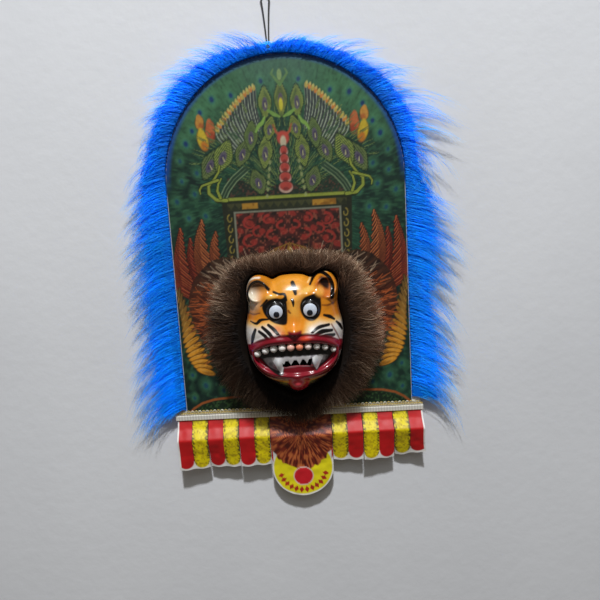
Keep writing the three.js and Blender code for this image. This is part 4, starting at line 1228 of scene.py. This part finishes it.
def paint_fan(art, side):
    """Slate ribs edged with grey and tipped with small flames, and a spray of petals at the end."""
    for k, share in enumerate(np.linspace(0, 1, 15)):
        tip = np.array([39 + 59 * share**0.95, 494 - 57 * share**1.25])
        foot = np.array([33 + 44 * share**1.1, 436 - 32 * share])
        bulge = np.array([4.5, 2.5]) * (0.5 + share)
        upper, lower = tip + (foot - tip) * 0.38 + bulge, tip + (foot - tip) * 0.7 + bulge * 0.8
        rib = rounded([tip, upper, lower, foot], 9)
        inner = rib - np.array([0.9, 0.2])
        art.stroke(mirrored(rib, side), 5.8, 4.2, (164, 176, 152), 0.9, 0.9)
        art.stroke(mirrored(inner, side), 3.8, 2.6, (50, 56, 58), 0.9, 0.95)
        flame = (206, 132, 58) if k % 2 else (192, 168, 78)
        lean = -side * (0.1 + 0.6 * share)
        art.ellipse(side * (tip[0] + 0.5), tip[1] + 1.5, 2.7, 4.6, flame, lean, 0.25, 0.95)
        art.ellipse(side * (tip[0] + 1.4), tip[1] + 4.8, 1.5, 2.8, (206, 202, 120), lean, 0.3, 0.7)
    for px, pz, w, h, turn, tone, foot in (
        (109, 436, 7.0, 15, 0.12, (190, 104, 60), (150, 60, 40)),
        (124, 450, 6.0, 9.5, 0.1, (196, 140, 62), (170, 90, 44)),
        (121, 424, 7.6, 14.5, -0.25, (204, 176, 50), (186, 92, 40)),
    ):
        art.ellipse(side * px, pz, w + 1.0, h + 1.0, (52, 40, 26), side * turn, 0.1, 0.8)
        art.ellipse(side * px, pz, w, h, tone, side * turn, 0.2)
        art.ellipse(side * (px + 1), pz + h * 0.75, w * 0.55, h * 0.5, tone, side * turn, 0.3)
        art.ellipse(side * (px - 2), pz - h * 0.55, w * 0.7, h * 0.5, foot, side * turn, 0.5, 0.8)


def paint_small_feathers(art, side):
    """Thin green barbs that fill the gaps between the larger feathers."""
    rng = np.random.default_rng(71)
    for _ in range(280):
        turn, reach = rng.uniform(0.03, 1.2), rng.uniform(24, 150)
        foot = np.array([reach * np.sin(turn), PLUME_ROOT + reach * np.cos(turn)])
        ahead = np.array([np.sin(turn * 1.15), np.cos(turn * 1.15)]) * rng.uniform(9, 17)
        tone = (124, 146, 86) if rng.random() < 0.6 else (78, 118, 78)
        line = mirrored([foot, foot + ahead * 0.5 + rng.normal(0, 0.8, 2), foot + ahead], side)
        art.stroke(line, 2.6, 0.8, (26, 40, 28), 1.0, 0.6)
        art.stroke(line, 1.4, 0.5, tone, 0.9, 0.75)


def paint_plumes(art, side):
    """Leaf feathers, the braces below them and the tray's clawed end."""
    paint_small_feathers(art, side)
    bright, dull = (152, 166, 78), (112, 124, 78)
    braces = [(97, 337), (90, 350), (78, 364), (60, 378)]
    pale = (130, 152, 112)
    lines = ((0, 13, (48, 70, 52)), (-5, 1.8, pale), (5, 1.8, pale), (0, 1.2, (108, 132, 98)))
    for shift, width, tone in lines:
        line = mirrored([(px + shift * 0.7, pz + shift * 0.7) for px, pz in braces], side)
        art.stroke(line, width, width * 0.7, tone, 1.2, 0.9)
    for px, pz, w, h, turn, tone in (
        (42, 358, 12, 19, 0.3, dull), (112, 388, 13, 24, -0.5, dull), (62, 402, 11, 21, -0.4, dull),
        (48, 426, 10, 22, -0.1, (112, 132, 76)), (92, 399, 14, 25, -0.42, bright),
        (28, 402, 11, 25, -0.12, bright), (19, 436, 9, 18, -0.2, (152, 162, 72)),
        (24, 474, 10, 23, 0.0, bright),
    ):
        leaf_feather(art, side * px, pz, w, h, -side * turn, tone)
    for claw, width in (
        ([(92, 333), (108, 335), (118, 345), (118, 356), (109, 365), (101, 376), (99, 385)], 5.0),
        ([(101, 337), (105, 348), (103, 358), (98, 366)], 4.0),
        ([(103, 364), (114, 361), (128, 357), (132, 351), (131, 345)], 3.6),
    ):
        art.stroke(mirrored(claw, side), width + 2.4, width, (34, 48, 26), 1.2, 0.85)
        art.stroke(mirrored(claw, side), width, width * 0.45, (148, 160, 66), 1.2, 0.95)


def paint_middle(art):
    """The column of red scales between the plumes, with its flower and crest."""
    leaf_feather(art, 0, 478, 9.5, 26, 0, (150, 156, 70))
    art.ellipse(0, 470, 3, 9, (206, 196, 60), 0, 0.3)
    for side in (-1, 1):
        for line, start, end, tone, soft, strength, middle in (
            ([(0, 498), (6, 506), (12, 514), (9, 520)], 4.5, 2.5, (104, 142, 74), 1.4, 1.0, None),
            ([(3, 452), (12, 456), (20, 462)], 3.0, 3.0, (120, 158, 76), 1.4, 1.0, 6),
            ([(26, 452), (30, 444), (36, 440), (40, 432)], 3.0, 3.0, (128, 168, 78), 1.6, 1.0, 6),
            ([(3, 424), (10, 430), (14, 441)], 5.0, 1.5, (176, 84, 62), 1.4, 0.9, None),
        ):
            art.stroke(mirrored(line, side), start, end, tone, soft, strength, middle)
        for k in range(6):
            art.ellipse(side * (22 + 1.5 * k), 386 - 10 * k, 2.0, 3.2, (150, 158, 104), 0, 0.3, 0.8)
    art.ellipse(0, 512, 3.5, 8, (150, 178, 104), 0, 0.3)
    art.ellipse(0, 421, 9, 10, (188, 76, 64), 0, 0.2)
    art.ellipse(0, 415, 4.5, 9, (198, 186, 156), 0, 0.3)
    for level, size in ((401, 5.5), (389, 6.2), (376, 7.2), (362, 8.4), (348, 10.0)):
        art.ellipse(0, level, size + 1.8, 9.5, (40, 34, 30), 0, 0.1, 0.95)
        art.ellipse(0, level - 0.6, size + 0.6, 8.2, (196, 162, 144), 0, 0.12)
        art.ellipse(0, level + 1.6, size - 0.3, 6.6, (176, 72, 62), 0, 0.2)
        art.ellipse(0, level - 3.0, size * 0.5, 3.2, (112, 44, 42), 0, 0.4, 0.7)


def curl(x, z, rx, rz, turns, tightness):
    """A spiral's points, which draws in as it turns."""
    draw = 1 - turns / tightness
    return list(zip(x + rx * np.sin(turns) * draw, z + rz * np.cos(turns) * draw))


def paint_panel(art):
    """The tray and the framed panel of scrollwork under it."""
    x, z = art.x, art.y
    right = [(20, 352), (60, 366), (88, 366), (98, 337)]
    ground = art.inside(right + mirrored(right[::-1], -1), 3.0)
    scribble = noise(x, z, 2.6, 61)
    art.lay(ground, (46, 40, 34), 0.55)
    art.lay(ground * smooth(0.62, 0.8, scribble), (112, 70, 58), 0.45)
    art.patch([(-100, 333), (100, 333), (96, 226), (-96, 226)], (42, 46, 34), 1.4)
    art.stroke([(-106, 333.5), (0, 333.5), (106, 333.5)], 7.5, 7.5, (40, 50, 28), 1.2, 0.9)
    art.stroke([(-106, 334), (0, 334), (106, 334)], 4.6, 4.6, (146, 156, 66), 1.4)
    bar = art.inside([(-92, 327.5), (92, 327.5), (92, 317.5), (-92, 317.5)], 1.0)
    art.lay(bar, (72, 74, 46), 0.9)
    teeth = np.abs(((x + 200) / 12) % 1 - 0.5) * 2
    art.lay(bar * smooth(0.12, -0.12, (z - 318.5) / 8 - teeth), (40, 46, 34), 0.8)
    for side in (-1, 1):
        near, far = side * 42 - 3, side * 72 + 3
        block = art.inside([(near, 327), (far, 327), (far, 318.5), (near, 318.5)], 1.6)
        art.lay(block, (188, 138, 50), 0.85)
        art.lay(block * smooth(0.5, 0.8, noise(x, z, 5, 8)), (124, 78, 30), 0.7)
    art.patch([(-82.5, 315), (82.5, 315), (82.5, 226), (-82.5, 226)], (142, 144, 124), 1.0, 0.9)
    art.patch([(-80, 312.6), (80, 312.6), (80, 226), (-80, 226)], (74, 38, 34), 1.0)
    field = art.inside([(-79, 311.5), (79, 311.5), (79, 226), (-79, 226)], 1.0)
    warp = 3.0 * np.sin(z / 7.0) + 2.0 * np.sin(x / 5.0)
    scroll = np.sin((np.abs(x) + warp) / 5.2) * np.sin((z + 2.6 * np.sin(np.abs(x) / 6.5)) / 4.4)
    art.lay(field * smooth(0.25, 0.7, scroll), (150, 52, 44), 0.85)
    art.lay(field * smooth(-0.15, -0.6, scroll), (40, 32, 28), 0.8)
    art.lay(field * smooth(0.6, 0.85, noise(np.abs(x), z, 3.2, 9)), (176, 96, 74), 0.5)
    for side in (-1, 1):
        for px, pz, size in (
            (58, 296, 13), (46, 282, 11), (60, 268, 13), (30, 300, 9), (26, 276, 10), (10, 290, 9),
        ):
            line = curl(px, pz, size, size * 0.8, np.linspace(0, 4.4, 8), 9)
            art.stroke(mirrored(line, side), 4.6, 1.4, (158, 54, 46), 1.6, 0.85)
        for k in range(5):
            line = curl(89, 305 - 16 * k, 4.4, 6.5, np.linspace(0.2, 5.0, 9), 12)
            art.stroke(mirrored(line, side), 1.9, 1.5, (148, 132, 62), 1.2, 0.9)


def paint_wings(art, side):
    red, rust = (132, 46, 34), (140, 68, 42)
    for lead, lengths, tone, light in (
        ([(154, 206), (158, 232), (158, 256), (153, 278)], [26, 40, 28, 8], red, (170, 84, 56)),
        ([(122, 228), (124, 250), (120, 270), (113, 286)], [24, 34, 22, 8], rust, (190, 112, 66)),
        ([(182, 204), (181, 230), (177, 260), (167, 294)], [30, 42, 32, 9], red, (204, 112, 68)),
        ([(146, 228), (148, 252), (143, 280), (133, 305)], [40, 52, 36, 9], rust, (214, 132, 78)),
    ):
        wing(art, side, lead, lengths, tone, light)
    # Finger feathers fanned down the outer edge, larger towards the foot
    stops = np.linspace(0, 1, 5)
    columns = ([178, 172, 167, 158, 146], [192, 158, 124, 94, 66], [12, 13, 14, 15, 15],
               [2.0, 3.0, 3.8, 4.4, 4.8], [1.75, 2.0, 2.45, 2.8, 3.5])
    for share in np.linspace(0, 1, 15):
        px, pz, long, wide, turn = (np.interp(share, stops, column) for column in columns)
        tone = np.array([116, 88, 46]) + np.array([120, 72, 4]) * smooth(0.0, 0.75, share)
        for dx, dz, rx, rz, colour, soft, strength in (
            (0, 0, long + 1.1, wide + 1.1, (42, 28, 16), 0.08, 0.9),
            (0, 0, long, wide, tone, 0.14, 0.95),
            (-5, -3, long * 0.6, wide * 0.7, (96, 58, 28), 0.6, 0.6),
            (3, 2, long * 0.5, wide * 0.3, (222, 170, 84), 0.5, 0.5),
        ):
            art.ellipse(side * (px + dx), pz + dz, rx, rz, colour, side * turn, soft, strength)


def paint_strands(art):
    """Single hairs of the printed mane: rust at the sides, beige on the shoulders, dark between."""
    rng = np.random.default_rng(91)
    for k in range(1300):
        side, dark = rng.choice([-1, 1]), k % 3 == 0
        turn = rng.uniform(0.15, 2.4)
        edge = np.interp(turn, [0.15, 0.6, 1.0, 1.5, 1.9, 2.4], [112, 128, 152, 160, 152, 126])
        reach = edge - rng.uniform(2, 56)
        bend = turn + rng.normal(0, 0.025)
        line = []
        for far, angle in ((0, turn), (8, (turn + bend) / 2), (rng.uniform(12, 18), bend)):
            out = reach + far
            line.append((side * out * np.sin(angle), PRINTED_MANE + out * np.cos(angle)))
        at_side, at_shoulder = ridge(turn - 1.45, 0.3), ridge(turn - 0.85, 0.22)
        tone = (18, 13, 12) if dark else (112, 76, 54)
        if not dark and rng.random() < at_side:
            tone = (204, 104, 54)
        elif not dark and rng.random() < at_shoulder:
            tone = (196, 168, 140)
        art.stroke(line, 1.5, 0.7, tone, 1.0, rng.uniform(0.4, 0.9))


def paint_printed_mane(art):
    """The airbrushed mane round the real one: two brown lobes with rust and beige strands."""
    x, z = np.abs(art.x), art.y
    lobes = [
        (0, 252), (60, 250), (84, 243), (104, 248), (128, 240), (150, 218), (161, 196), (165, 174),
        (160, 150), (150, 122), (139, 100), (126, 80), (116, 60), (98, 46), (60, 34), (0, 30),
    ]
    folded = Canvas(x, z, (0, 0, 0))
    away, turn = np.hypot(x, z - PRINTED_MANE), np.arctan2(x, z - PRINTED_MANE)
    ragged = 3.0 * (noise(turn * 60, away * 0.1, 1.6, 6) - 0.5)
    outline, _ = folded.distance(lobes)
    mask = np.where(folded.inside(lobes, 0.5) > 0.5, 1, 0) * smooth(-1.5, 1.5, outline + ragged)
    strands = noise(turn * 74 + 0.05 * away, away * 0.1, 1.9, 7)
    fine = noise(turn * 118 - 0.09 * away, away * 0.14, 1.6, 17)
    art.lay(mask, (44, 30, 24))
    art.lay(mask * smooth(0.45, 0.8, strands), (84, 54, 38), 0.6)
    art.lay(mask * smooth(0.45, 0.2, strands), (22, 16, 14), 0.7)
    rust = bump(x, z, 143, 178, 22, 32) + bump(x, z, 136, 142, 18, 28)
    art.lay(mask * rust, (112, 54, 34), 0.6)
    paint_strands(art)
    art.lay(mask * bump(x, z, 70, 244, 34, 9) * smooth(0.35, 0.7, fine), (104, 84, 52), 0.7)
    # A gold crest above the mask
    gold = (168, 128, 54)
    for k in range(5):
        arch = [(2 + 7 * k, 236), (4 + 7.5 * k, 252 - k), (1 + 5 * k, 262 - 1.5 * k), (2 * k, 264 - k)]
        for side in (-1, 1):
            art.stroke(mirrored(arch, side), 2.6, 1.2, (84, 56, 26), 1.2, 0.7)
            art.stroke(mirrored(arch, side), 1.4, 0.8, gold, 1.2, 0.85)
    art.ellipse(0, 248, 2.6, 10, (190, 148, 66), 0, 0.3)


def paint_picture(x, z):
    art = Canvas(x, z, (30, 56, 46))
    paint_field(art)
    for side in (-1, 1):
        paint_fan(art, side)
    paint_panel(art)
    for side in (-1, 1):
        paint_plumes(art, side)
    paint_middle(art)
    for side in (-1, 1):
        paint_wings(art, side)
    paint_printed_mane(art)
    ground = smooth(24, 18, z + (np.abs(x) / 176) ** 6 * 22)
    art.lay(ground, (24, 42, 28))
    art.lay(ground * smooth(0.55, 0.8, noise(x, z, 2.4, 14)), (70, 104, 60), 0.6)
    half_arch = [(0, 23), (100, 21.5), (136, 19), (156, 14), (170, 6), (181, -4)]
    for side in (-1, 1):
        art.stroke(mirrored(half_arch, side), 3.6, 3.6, (160, 88, 44), 1.4)
    # Painted sheen: a bluish grey haze of reflected light over the top middle of the print
    art.lay(smooth(470, 530, z) * smooth(90, 20, np.abs(x)), (90, 112, 116), 0.3)
    grain = 0.8 + 0.25 * noise(x, z, 2.4, 15) + 0.1 * noise(x, z, 9.0, 16)
    art.rgb *= (PRINT_TONE * grain)[:, None]
    # Painted shade: a dark blue band along the arch's inner edge, the trim's fibres in shade
    reach = np.where(z > PICTURE_STRAIGHT, np.hypot(x, z - PICTURE_STRAIGHT), np.abs(x))
    art.lay(smooth(172, 180.5, reach) * smooth(345, 390, z), (10, 66, 150), 0.75)
    # The sheet's unprinted margin, white, and along the arch dark blue as the same painted shade
    margin = smooth(181.2, 182.2, reach)
    art.lay(margin, (206, 210, 212))
    art.lay(margin * smooth(335, 350, z), (12, 56, 130))
    return art.rgb


def make_picture():
    """The printed side as two fine sheets that share a row of points, over a white sheet."""
    xs = np.arange(-186.25, 186.3, PRINT_STEP)
    rows = np.arange(-6.25, PICTURE_STRAIGHT + 187, PRINT_STEP)
    surface = Surface("printed_vinyl", Specular_IOR_Level=0.25)
    surface.painted()
    surface.rough(surface.noise(40, 3), 0.42, 0.6)
    surface.bumped(surface.noise(700, 2), 0.12, 0.0004)
    half = len(rows) // 2
    for name, zs in (("lower", rows[: half + 1]), ("upper", rows[half:])):
        z, x = np.meshgrid(zs, xs, indexing="ij")
        ripple = 0.25 * noise(x.ravel(), z.ravel(), 90, 31) - 0.12
        points = np.stack([x.ravel(), -(3.9 + np.clip(ripple, 0, 0.2)), z.ravel()], -1)
        faces = grid_faces(len(zs), len(xs))
        middle = points[faces].mean(1)
        above = np.maximum(middle[:, 2] - PICTURE_STRAIGHT, 0)
        faces = faces[np.hypot(middle[:, 0], above) < PRINT_REACH]
        used, faces = np.unique(faces, return_inverse=True)
        points = points[used]
        paint = paint_picture(points[:, 0], points[:, 2])
        faces = [faces.reshape(-1, 4)]
        add_mesh(f"picture_print_{name}", points, faces, surface.material, paint)
    sheet = Surface("white_vinyl", Roughness=0.5)
    sheet.varied(sheet.noise(50), (0.66, 0.67, 0.68), (0.74, 0.75, 0.76))
    sheet.bumped(sheet.noise(700, 2), 0.12, 0.0004)
    dress("printed_picture", sheet)


make_picture()

# Valance

# How far the sheet stands out at lengths down it
FOLD = np.array([
    (0, 0), (8, 0), (10, 0.2), (20, 4.5), (22, 5.6), (35, 15.6), (37, 16.6), (39, 16.5), (62, 11.5),
    (87, 8.0), (144, 6.0),
])
STRIPE_PITCH = 25.0
STRIPE_HALF = 12.0
STRIPE_LENGTH = 73.0
DISC_DOWN = 108.0
LOZENGES = 12
LOZENGE_RING = 37.5
FLAPS_A_SIDE = 3
FLAP_ROWS = 76
SLIT_HALF = 0.5


def hem_tilt(across):
    """How much higher the tape and what hangs from it sit at a place across, most at the left."""
    return 1.0 - 0.012 * across


def fold_depth(down):
    """How far the valance stands out at a length down it."""
    return np.interp(down, FOLD[:, 0], FOLD[:, 1])


def paint_stripes(art, down):
    """Red bars, and yellow bars mottled brown with ragged dark edges."""
    side = np.abs(art.x)
    number = np.floor((side - BADGE_RADIUS) / STRIPE_PITCH)
    away = np.abs(side - BADGE_RADIUS - (number + 0.5) * STRIPE_PITCH)
    end = smooth(0.8, -0.8, np.hypot(away, np.maximum(down - STRIPE_LENGTH, 0)) - STRIPE_HALF)
    bar = np.where(down > STRIPE_LENGTH, end, 1.0)
    bar = bar * (side > BADGE_RADIUS - 3) * (side < VALANCE_HALF - 3)
    yellow = bar * (number.astype(int) % 2 == 0)
    art.lay(bar - yellow, (188, 23, 26))
    art.lay(yellow, (226, 206, 10))
    art.lay(yellow * smooth(0.5, 0.75, noise(art.x, down, 3.0, 21)), (190, 164, 20), 0.7)
    art.lay(yellow * smooth(0.7, 0.85, noise(art.x, down, 2.0, 26)), (120, 96, 16), 0.5)
    ragged = smooth(8.6, 12.5, away + 2.2 * np.abs(np.sin(down * 0.42)))
    art.lay(yellow * ragged * smooth(0.3, 0.55, noise(art.x, down, 2.0, 22)), (66, 54, 14), 0.9)
    art.lay(bar * smooth(STRIPE_HALF, STRIPE_HALF + 0.45, away), (70, 24, 16), 0.7)


def paint_badge(art, down):
    """A yellow disc under a printed mane, with a plain red disc and a row of lozenges."""
    x = art.x
    art.lay(smooth(48, 47.2, np.hypot(x, down - BADGE_DROP)) * smooth(40, 46, down), (232, 218, 26))
    turn = np.arctan2(x, 26 - down)
    swell = np.hypot(x / 56, (down - 22) / 74) + 0.07 * (noise(turn * 30, down * 0, 2.0, 23) - 0.5)
    mane = smooth(1.02, 0.98, swell) * (np.abs(x) < BADGE_RADIUS)
    strands = noise(turn * 60, np.hypot(x, down - 40) * 0.2, 1.8, 24)
    art.lay(mane, (116, 38, 24))
    art.lay(mane * smooth(0.45, 0.8, strands), (208, 116, 62), 0.75)
    art.lay(mane * smooth(0.45, 0.15, strands), (58, 18, 14), 0.75)
    for radius, tone in ((16.0, (226, 190, 180)), (14.4, (204, 30, 40))):
        art.lay(smooth(radius + 0.8, radius, np.hypot(x, down - DISC_DOWN)), tone)
    for k in range(LOZENGES):
        angle = np.radians(-74 + 13.45 * k)
        dx = x - LOZENGE_RING * np.sin(angle)
        dy = down - BADGE_DROP - 2 - LOZENGE_RING * np.cos(angle)
        along = np.abs(dx * np.sin(angle) + dy * np.cos(angle)) / 5.6
        across = np.abs(dx * np.cos(angle) - dy * np.sin(angle)) / 3.2
        art.lay(smooth(1.12, 0.92, along + across * 0.8), (176, 44, 28))


def paint_valance(x, down):
    art = Canvas(x, down, (228, 226, 222))
    paint_stripes(art, down)
    paint_badge(art, down)
    grain = 0.94 + 0.1 * noise(x, down, 5, 25)
    # Painted shade: the top of the sheet, about 15 mm, darkened under the tape and the mane
    painted_shade_below_tape = 1 - 0.45 * smooth(15, 9, down + 5 * (noise(x, down, 9, 27) - 0.5))
    return art.rgb * (grain * painted_shade_below_tape)[:, None]


def flap(left, right, out, turn):
    """One flap's points, its paint and its flat area, as it swings out and turns below the fold."""
    x = np.linspace(left + SLIT_HALF, right - SLIT_HALF, int((right - left) / 0.9))
    badge = left < 0 < right
    if badge:
        end = BADGE_DROP + np.sqrt(np.maximum((BADGE_RADIUS - 0.3) ** 2 - x**2, 0))
        end = np.maximum(end, VALANCE_DROP)
    else:
        scallop = 0.8 * np.cos((x - left) / (right - left) * 4 * np.pi)
        end = VALANCE_DROP - scallop + 0.006 * (x - left) * turn
    down = np.linspace(0, 1, FLAP_ROWS)[:, None] * end
    across = np.broadcast_to(x, down.shape)
    below = smooth(36, 95, down)
    lean = below * (out + turn * (across - (left + right) / 2) / STRIPE_PITCH)
    wrinkle = 0.5 * (noise(across, down * 0.6, 26, 41) - 0.5) + 0.9 * (noise(across, down, 9, 42) - 0.5)
    depth = FACE + 0.55 + fold_depth(down) + lean + wrinkle * smooth(10, 24, down)
    # The sheet keeps its length, so the fold draws its lower edge up
    step = np.gradient(down, axis=0)
    slope = np.clip(np.gradient(depth, axis=0) / np.maximum(step, 1e-6), -1, 1)
    rise = 0.0 if badge else 0.5 * np.cumsum((1 - 1 / np.sqrt(1 + slope**2)) * step, axis=0)
    curl_up = below**2 * (right > VALANCE_HALF - 1)
    z = VALANCE_TOP - down + rise + curl_up * 8 * smooth(150, 199, across)
    z = z + hem_tilt(across) * smooth(60, 0, down)
    points = np.stack([(across + curl_up * 2).ravel(), -depth.ravel(), z.ravel()], -1)
    return points, len(x), paint_valance(across.ravel(), down.ravel()), end.mean() * (right - left)


def make_valance():
    """The folded sheet: one flap for each pair of stripes and one for the badge."""
    made = Meshes()
    edges = np.linspace(-VALANCE_HALF, -BADGE_RADIUS, FLAPS_A_SIDE + 1)
    spans = [*zip(edges, edges[1:]), (-BADGE_RADIUS, BADGE_RADIUS)]
    spans += [(-right, -left) for left, right in reversed(spans[:FLAPS_A_SIDE])]
    # How far each flap swings out below the fold, and how it twists
    swings = [2.0, -2.5, 1.0, 0.5, -1.5, 2.5, -4.0]
    twists = [-3.0, 2.0, -1.5, 0.0, 2.0, -2.5, 5.0]
    for (left, right), out, turn in zip(spans, swings, twists):
        points, columns, paint, area = flap(left, right, out, turn)
        made.add(points, [grid_faces(FLAP_ROWS, columns)], paint)
    surface = Surface("valance_vinyl", Specular_IOR_Level=0.35)
    surface.painted()
    surface.rough(surface.noise(60, 3), 0.42, 0.6)
    surface.bumped(surface.noise(90, 3), 0.1, 0.001)
    piece = made.piece("valance_printed", surface.material, slot="valance_vinyl")
    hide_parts("valance")


make_valance()

# Braid, tape and board

LOOP_PITCH = 6.0
ZIGZAG_PITCH = 3.0
# The tape's section: height, and how far it stands out
TAPE_SECTION = np.array([
    (-16.2, 0.1), (-16.3, 0.7), (-15.4, 1.0), (-13, 0.85), (-10.5, 0.95), (-8.6, 1.0), (-7.9, 0.7),
    (-8.0, 0.1),
])


def braid_thread(made, x, z, front, radius, sides, tone):
    """A thread through points across and up, at a depth in front of the picture."""
    path = np.stack([x, np.full(len(x), -(FACE + front)), z], -1)
    points, faces = tube(path, radius, sides)
    made.add(points, [faces], tone)


def make_braid():
    """Metallic lace: a woven band with a row of loops, and a zigzag thread over it."""
    made = Meshes()
    half = PICTURE_HALF + BOARD_MARGIN + 3.0
    gold, cream = linear((216, 190, 110)), linear((244, 238, 214))
    xs = np.arange(-half, half, 1.0)
    for low, high, tone in ((-7.3, -5.6, cream), (-4.9, -3.7, gold)):
        levels = np.linspace(low, high, 4)
        z, x = np.meshgrid(levels, xs, indexing="ij")
        y = -(FACE + 0.75 + 0.12 * np.sin(x * 2.1) * np.cos(z * 4))
        made.add(np.stack([x, y, z + hem_tilt(x)], -1), [grid_faces(len(levels), len(xs))], tone)
    turn = np.linspace(-0.35, np.pi + 0.35, 11)
    for k in range(int(2 * half / LOOP_PITCH)):
        centre = -half + LOOP_PITCH * (k + 0.5)
        foot = -3.6 + hem_tilt(centre)
        for rx, rz, front, radius, sides, tone in (
            (2.7, 3.0, 0.75, 0.5, 6, gold if k % 2 else cream),
            (1.3, 1.5, 0.85, 0.32, 5, cream),
        ):
            x, z = centre + rx * np.cos(turn), foot + rz * np.sin(turn)
            braid_thread(made, x, z, front, radius, sides, tone)
    x = np.arange(0, 2 * half, 0.75) - half
    swing = np.abs(((x + half) / ZIGZAG_PITCH) % 1 - 0.5) * 4 - 1
    braid_thread(made, x, -5.2 + 0.9 * swing + hem_tilt(x), 1.0, 0.34, 5, gold)
    surface = Surface("metallic_lace", Roughness=0.38, Metallic=0.35)
    surface.painted()
    surface.bumped(surface.noise(1500, 1), 0.4, 0.0004)
    piece = made.piece("gold_braid_lace", surface.material, slot="braid")
    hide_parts("gold_braid")


def make_tape():
    """A ribbed woven tape over the valance's upper edge."""
    half = PICTURE_HALF + BOARD_MARGIN + 3.2
    xs = np.arange(-half, half + 0.1, 1.2)
    z, x = np.meshgrid(TAPE_SECTION[:, 0], xs, indexing="ij")
    sway = 0.35 * (noise(x, z * 0, 40, 51) - 0.5)
    depth = FACE + 1.15 + np.broadcast_to(TAPE_SECTION[:, 1:], x.shape)
    points = np.stack([x, -depth, z + sway + hem_tilt(x)], -1).reshape(-1, 3)
    # Painted shade between the woven ribs
    rib = 0.86 + 0.14 * np.cos(x * 1.4)
    shade = np.where((z < -14.8) | (z > -9.2), 1.0, 0.78)
    paint = linear((240, 238, 228)) * (rib * shade).reshape(-1, 1)
    surface = Surface("woven_tape", Roughness=0.75)
    surface.painted()
    surface.bumped(surface.noise(1400, 1), 0.5, 0.0005)
    faces = grid_faces(len(TAPE_SECTION), len(xs))
    piece = add_mesh("white_tape_woven", points, [faces], surface.material, paint)
    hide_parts("white_tape")


def dress_board():
    """Board with a grain that runs upwards."""
    surface = Surface("fibreboard", Roughness=0.8)
    place = surface.node("ShaderNodeTexCoord")
    stretch = surface.node("ShaderNodeMapping", {"Scale": (90.0, 90.0, 8.0)})
    grain = surface.node("ShaderNodeTexNoise", {"Scale": 2.0, "Detail": 5.0})
    surface.link(place.outputs["Object"], stretch.inputs["Vector"])
    surface.link(stretch.outputs["Vector"], grain.inputs["Vector"])
    surface.varied(grain.outputs["Fac"], (0.2, 0.125, 0.07), (0.34, 0.235, 0.145))
    surface.bumped(grain.outputs["Fac"], 0.15, 0.001)
    dress("back_board", surface)


make_braid()
make_tape()
dress_board()
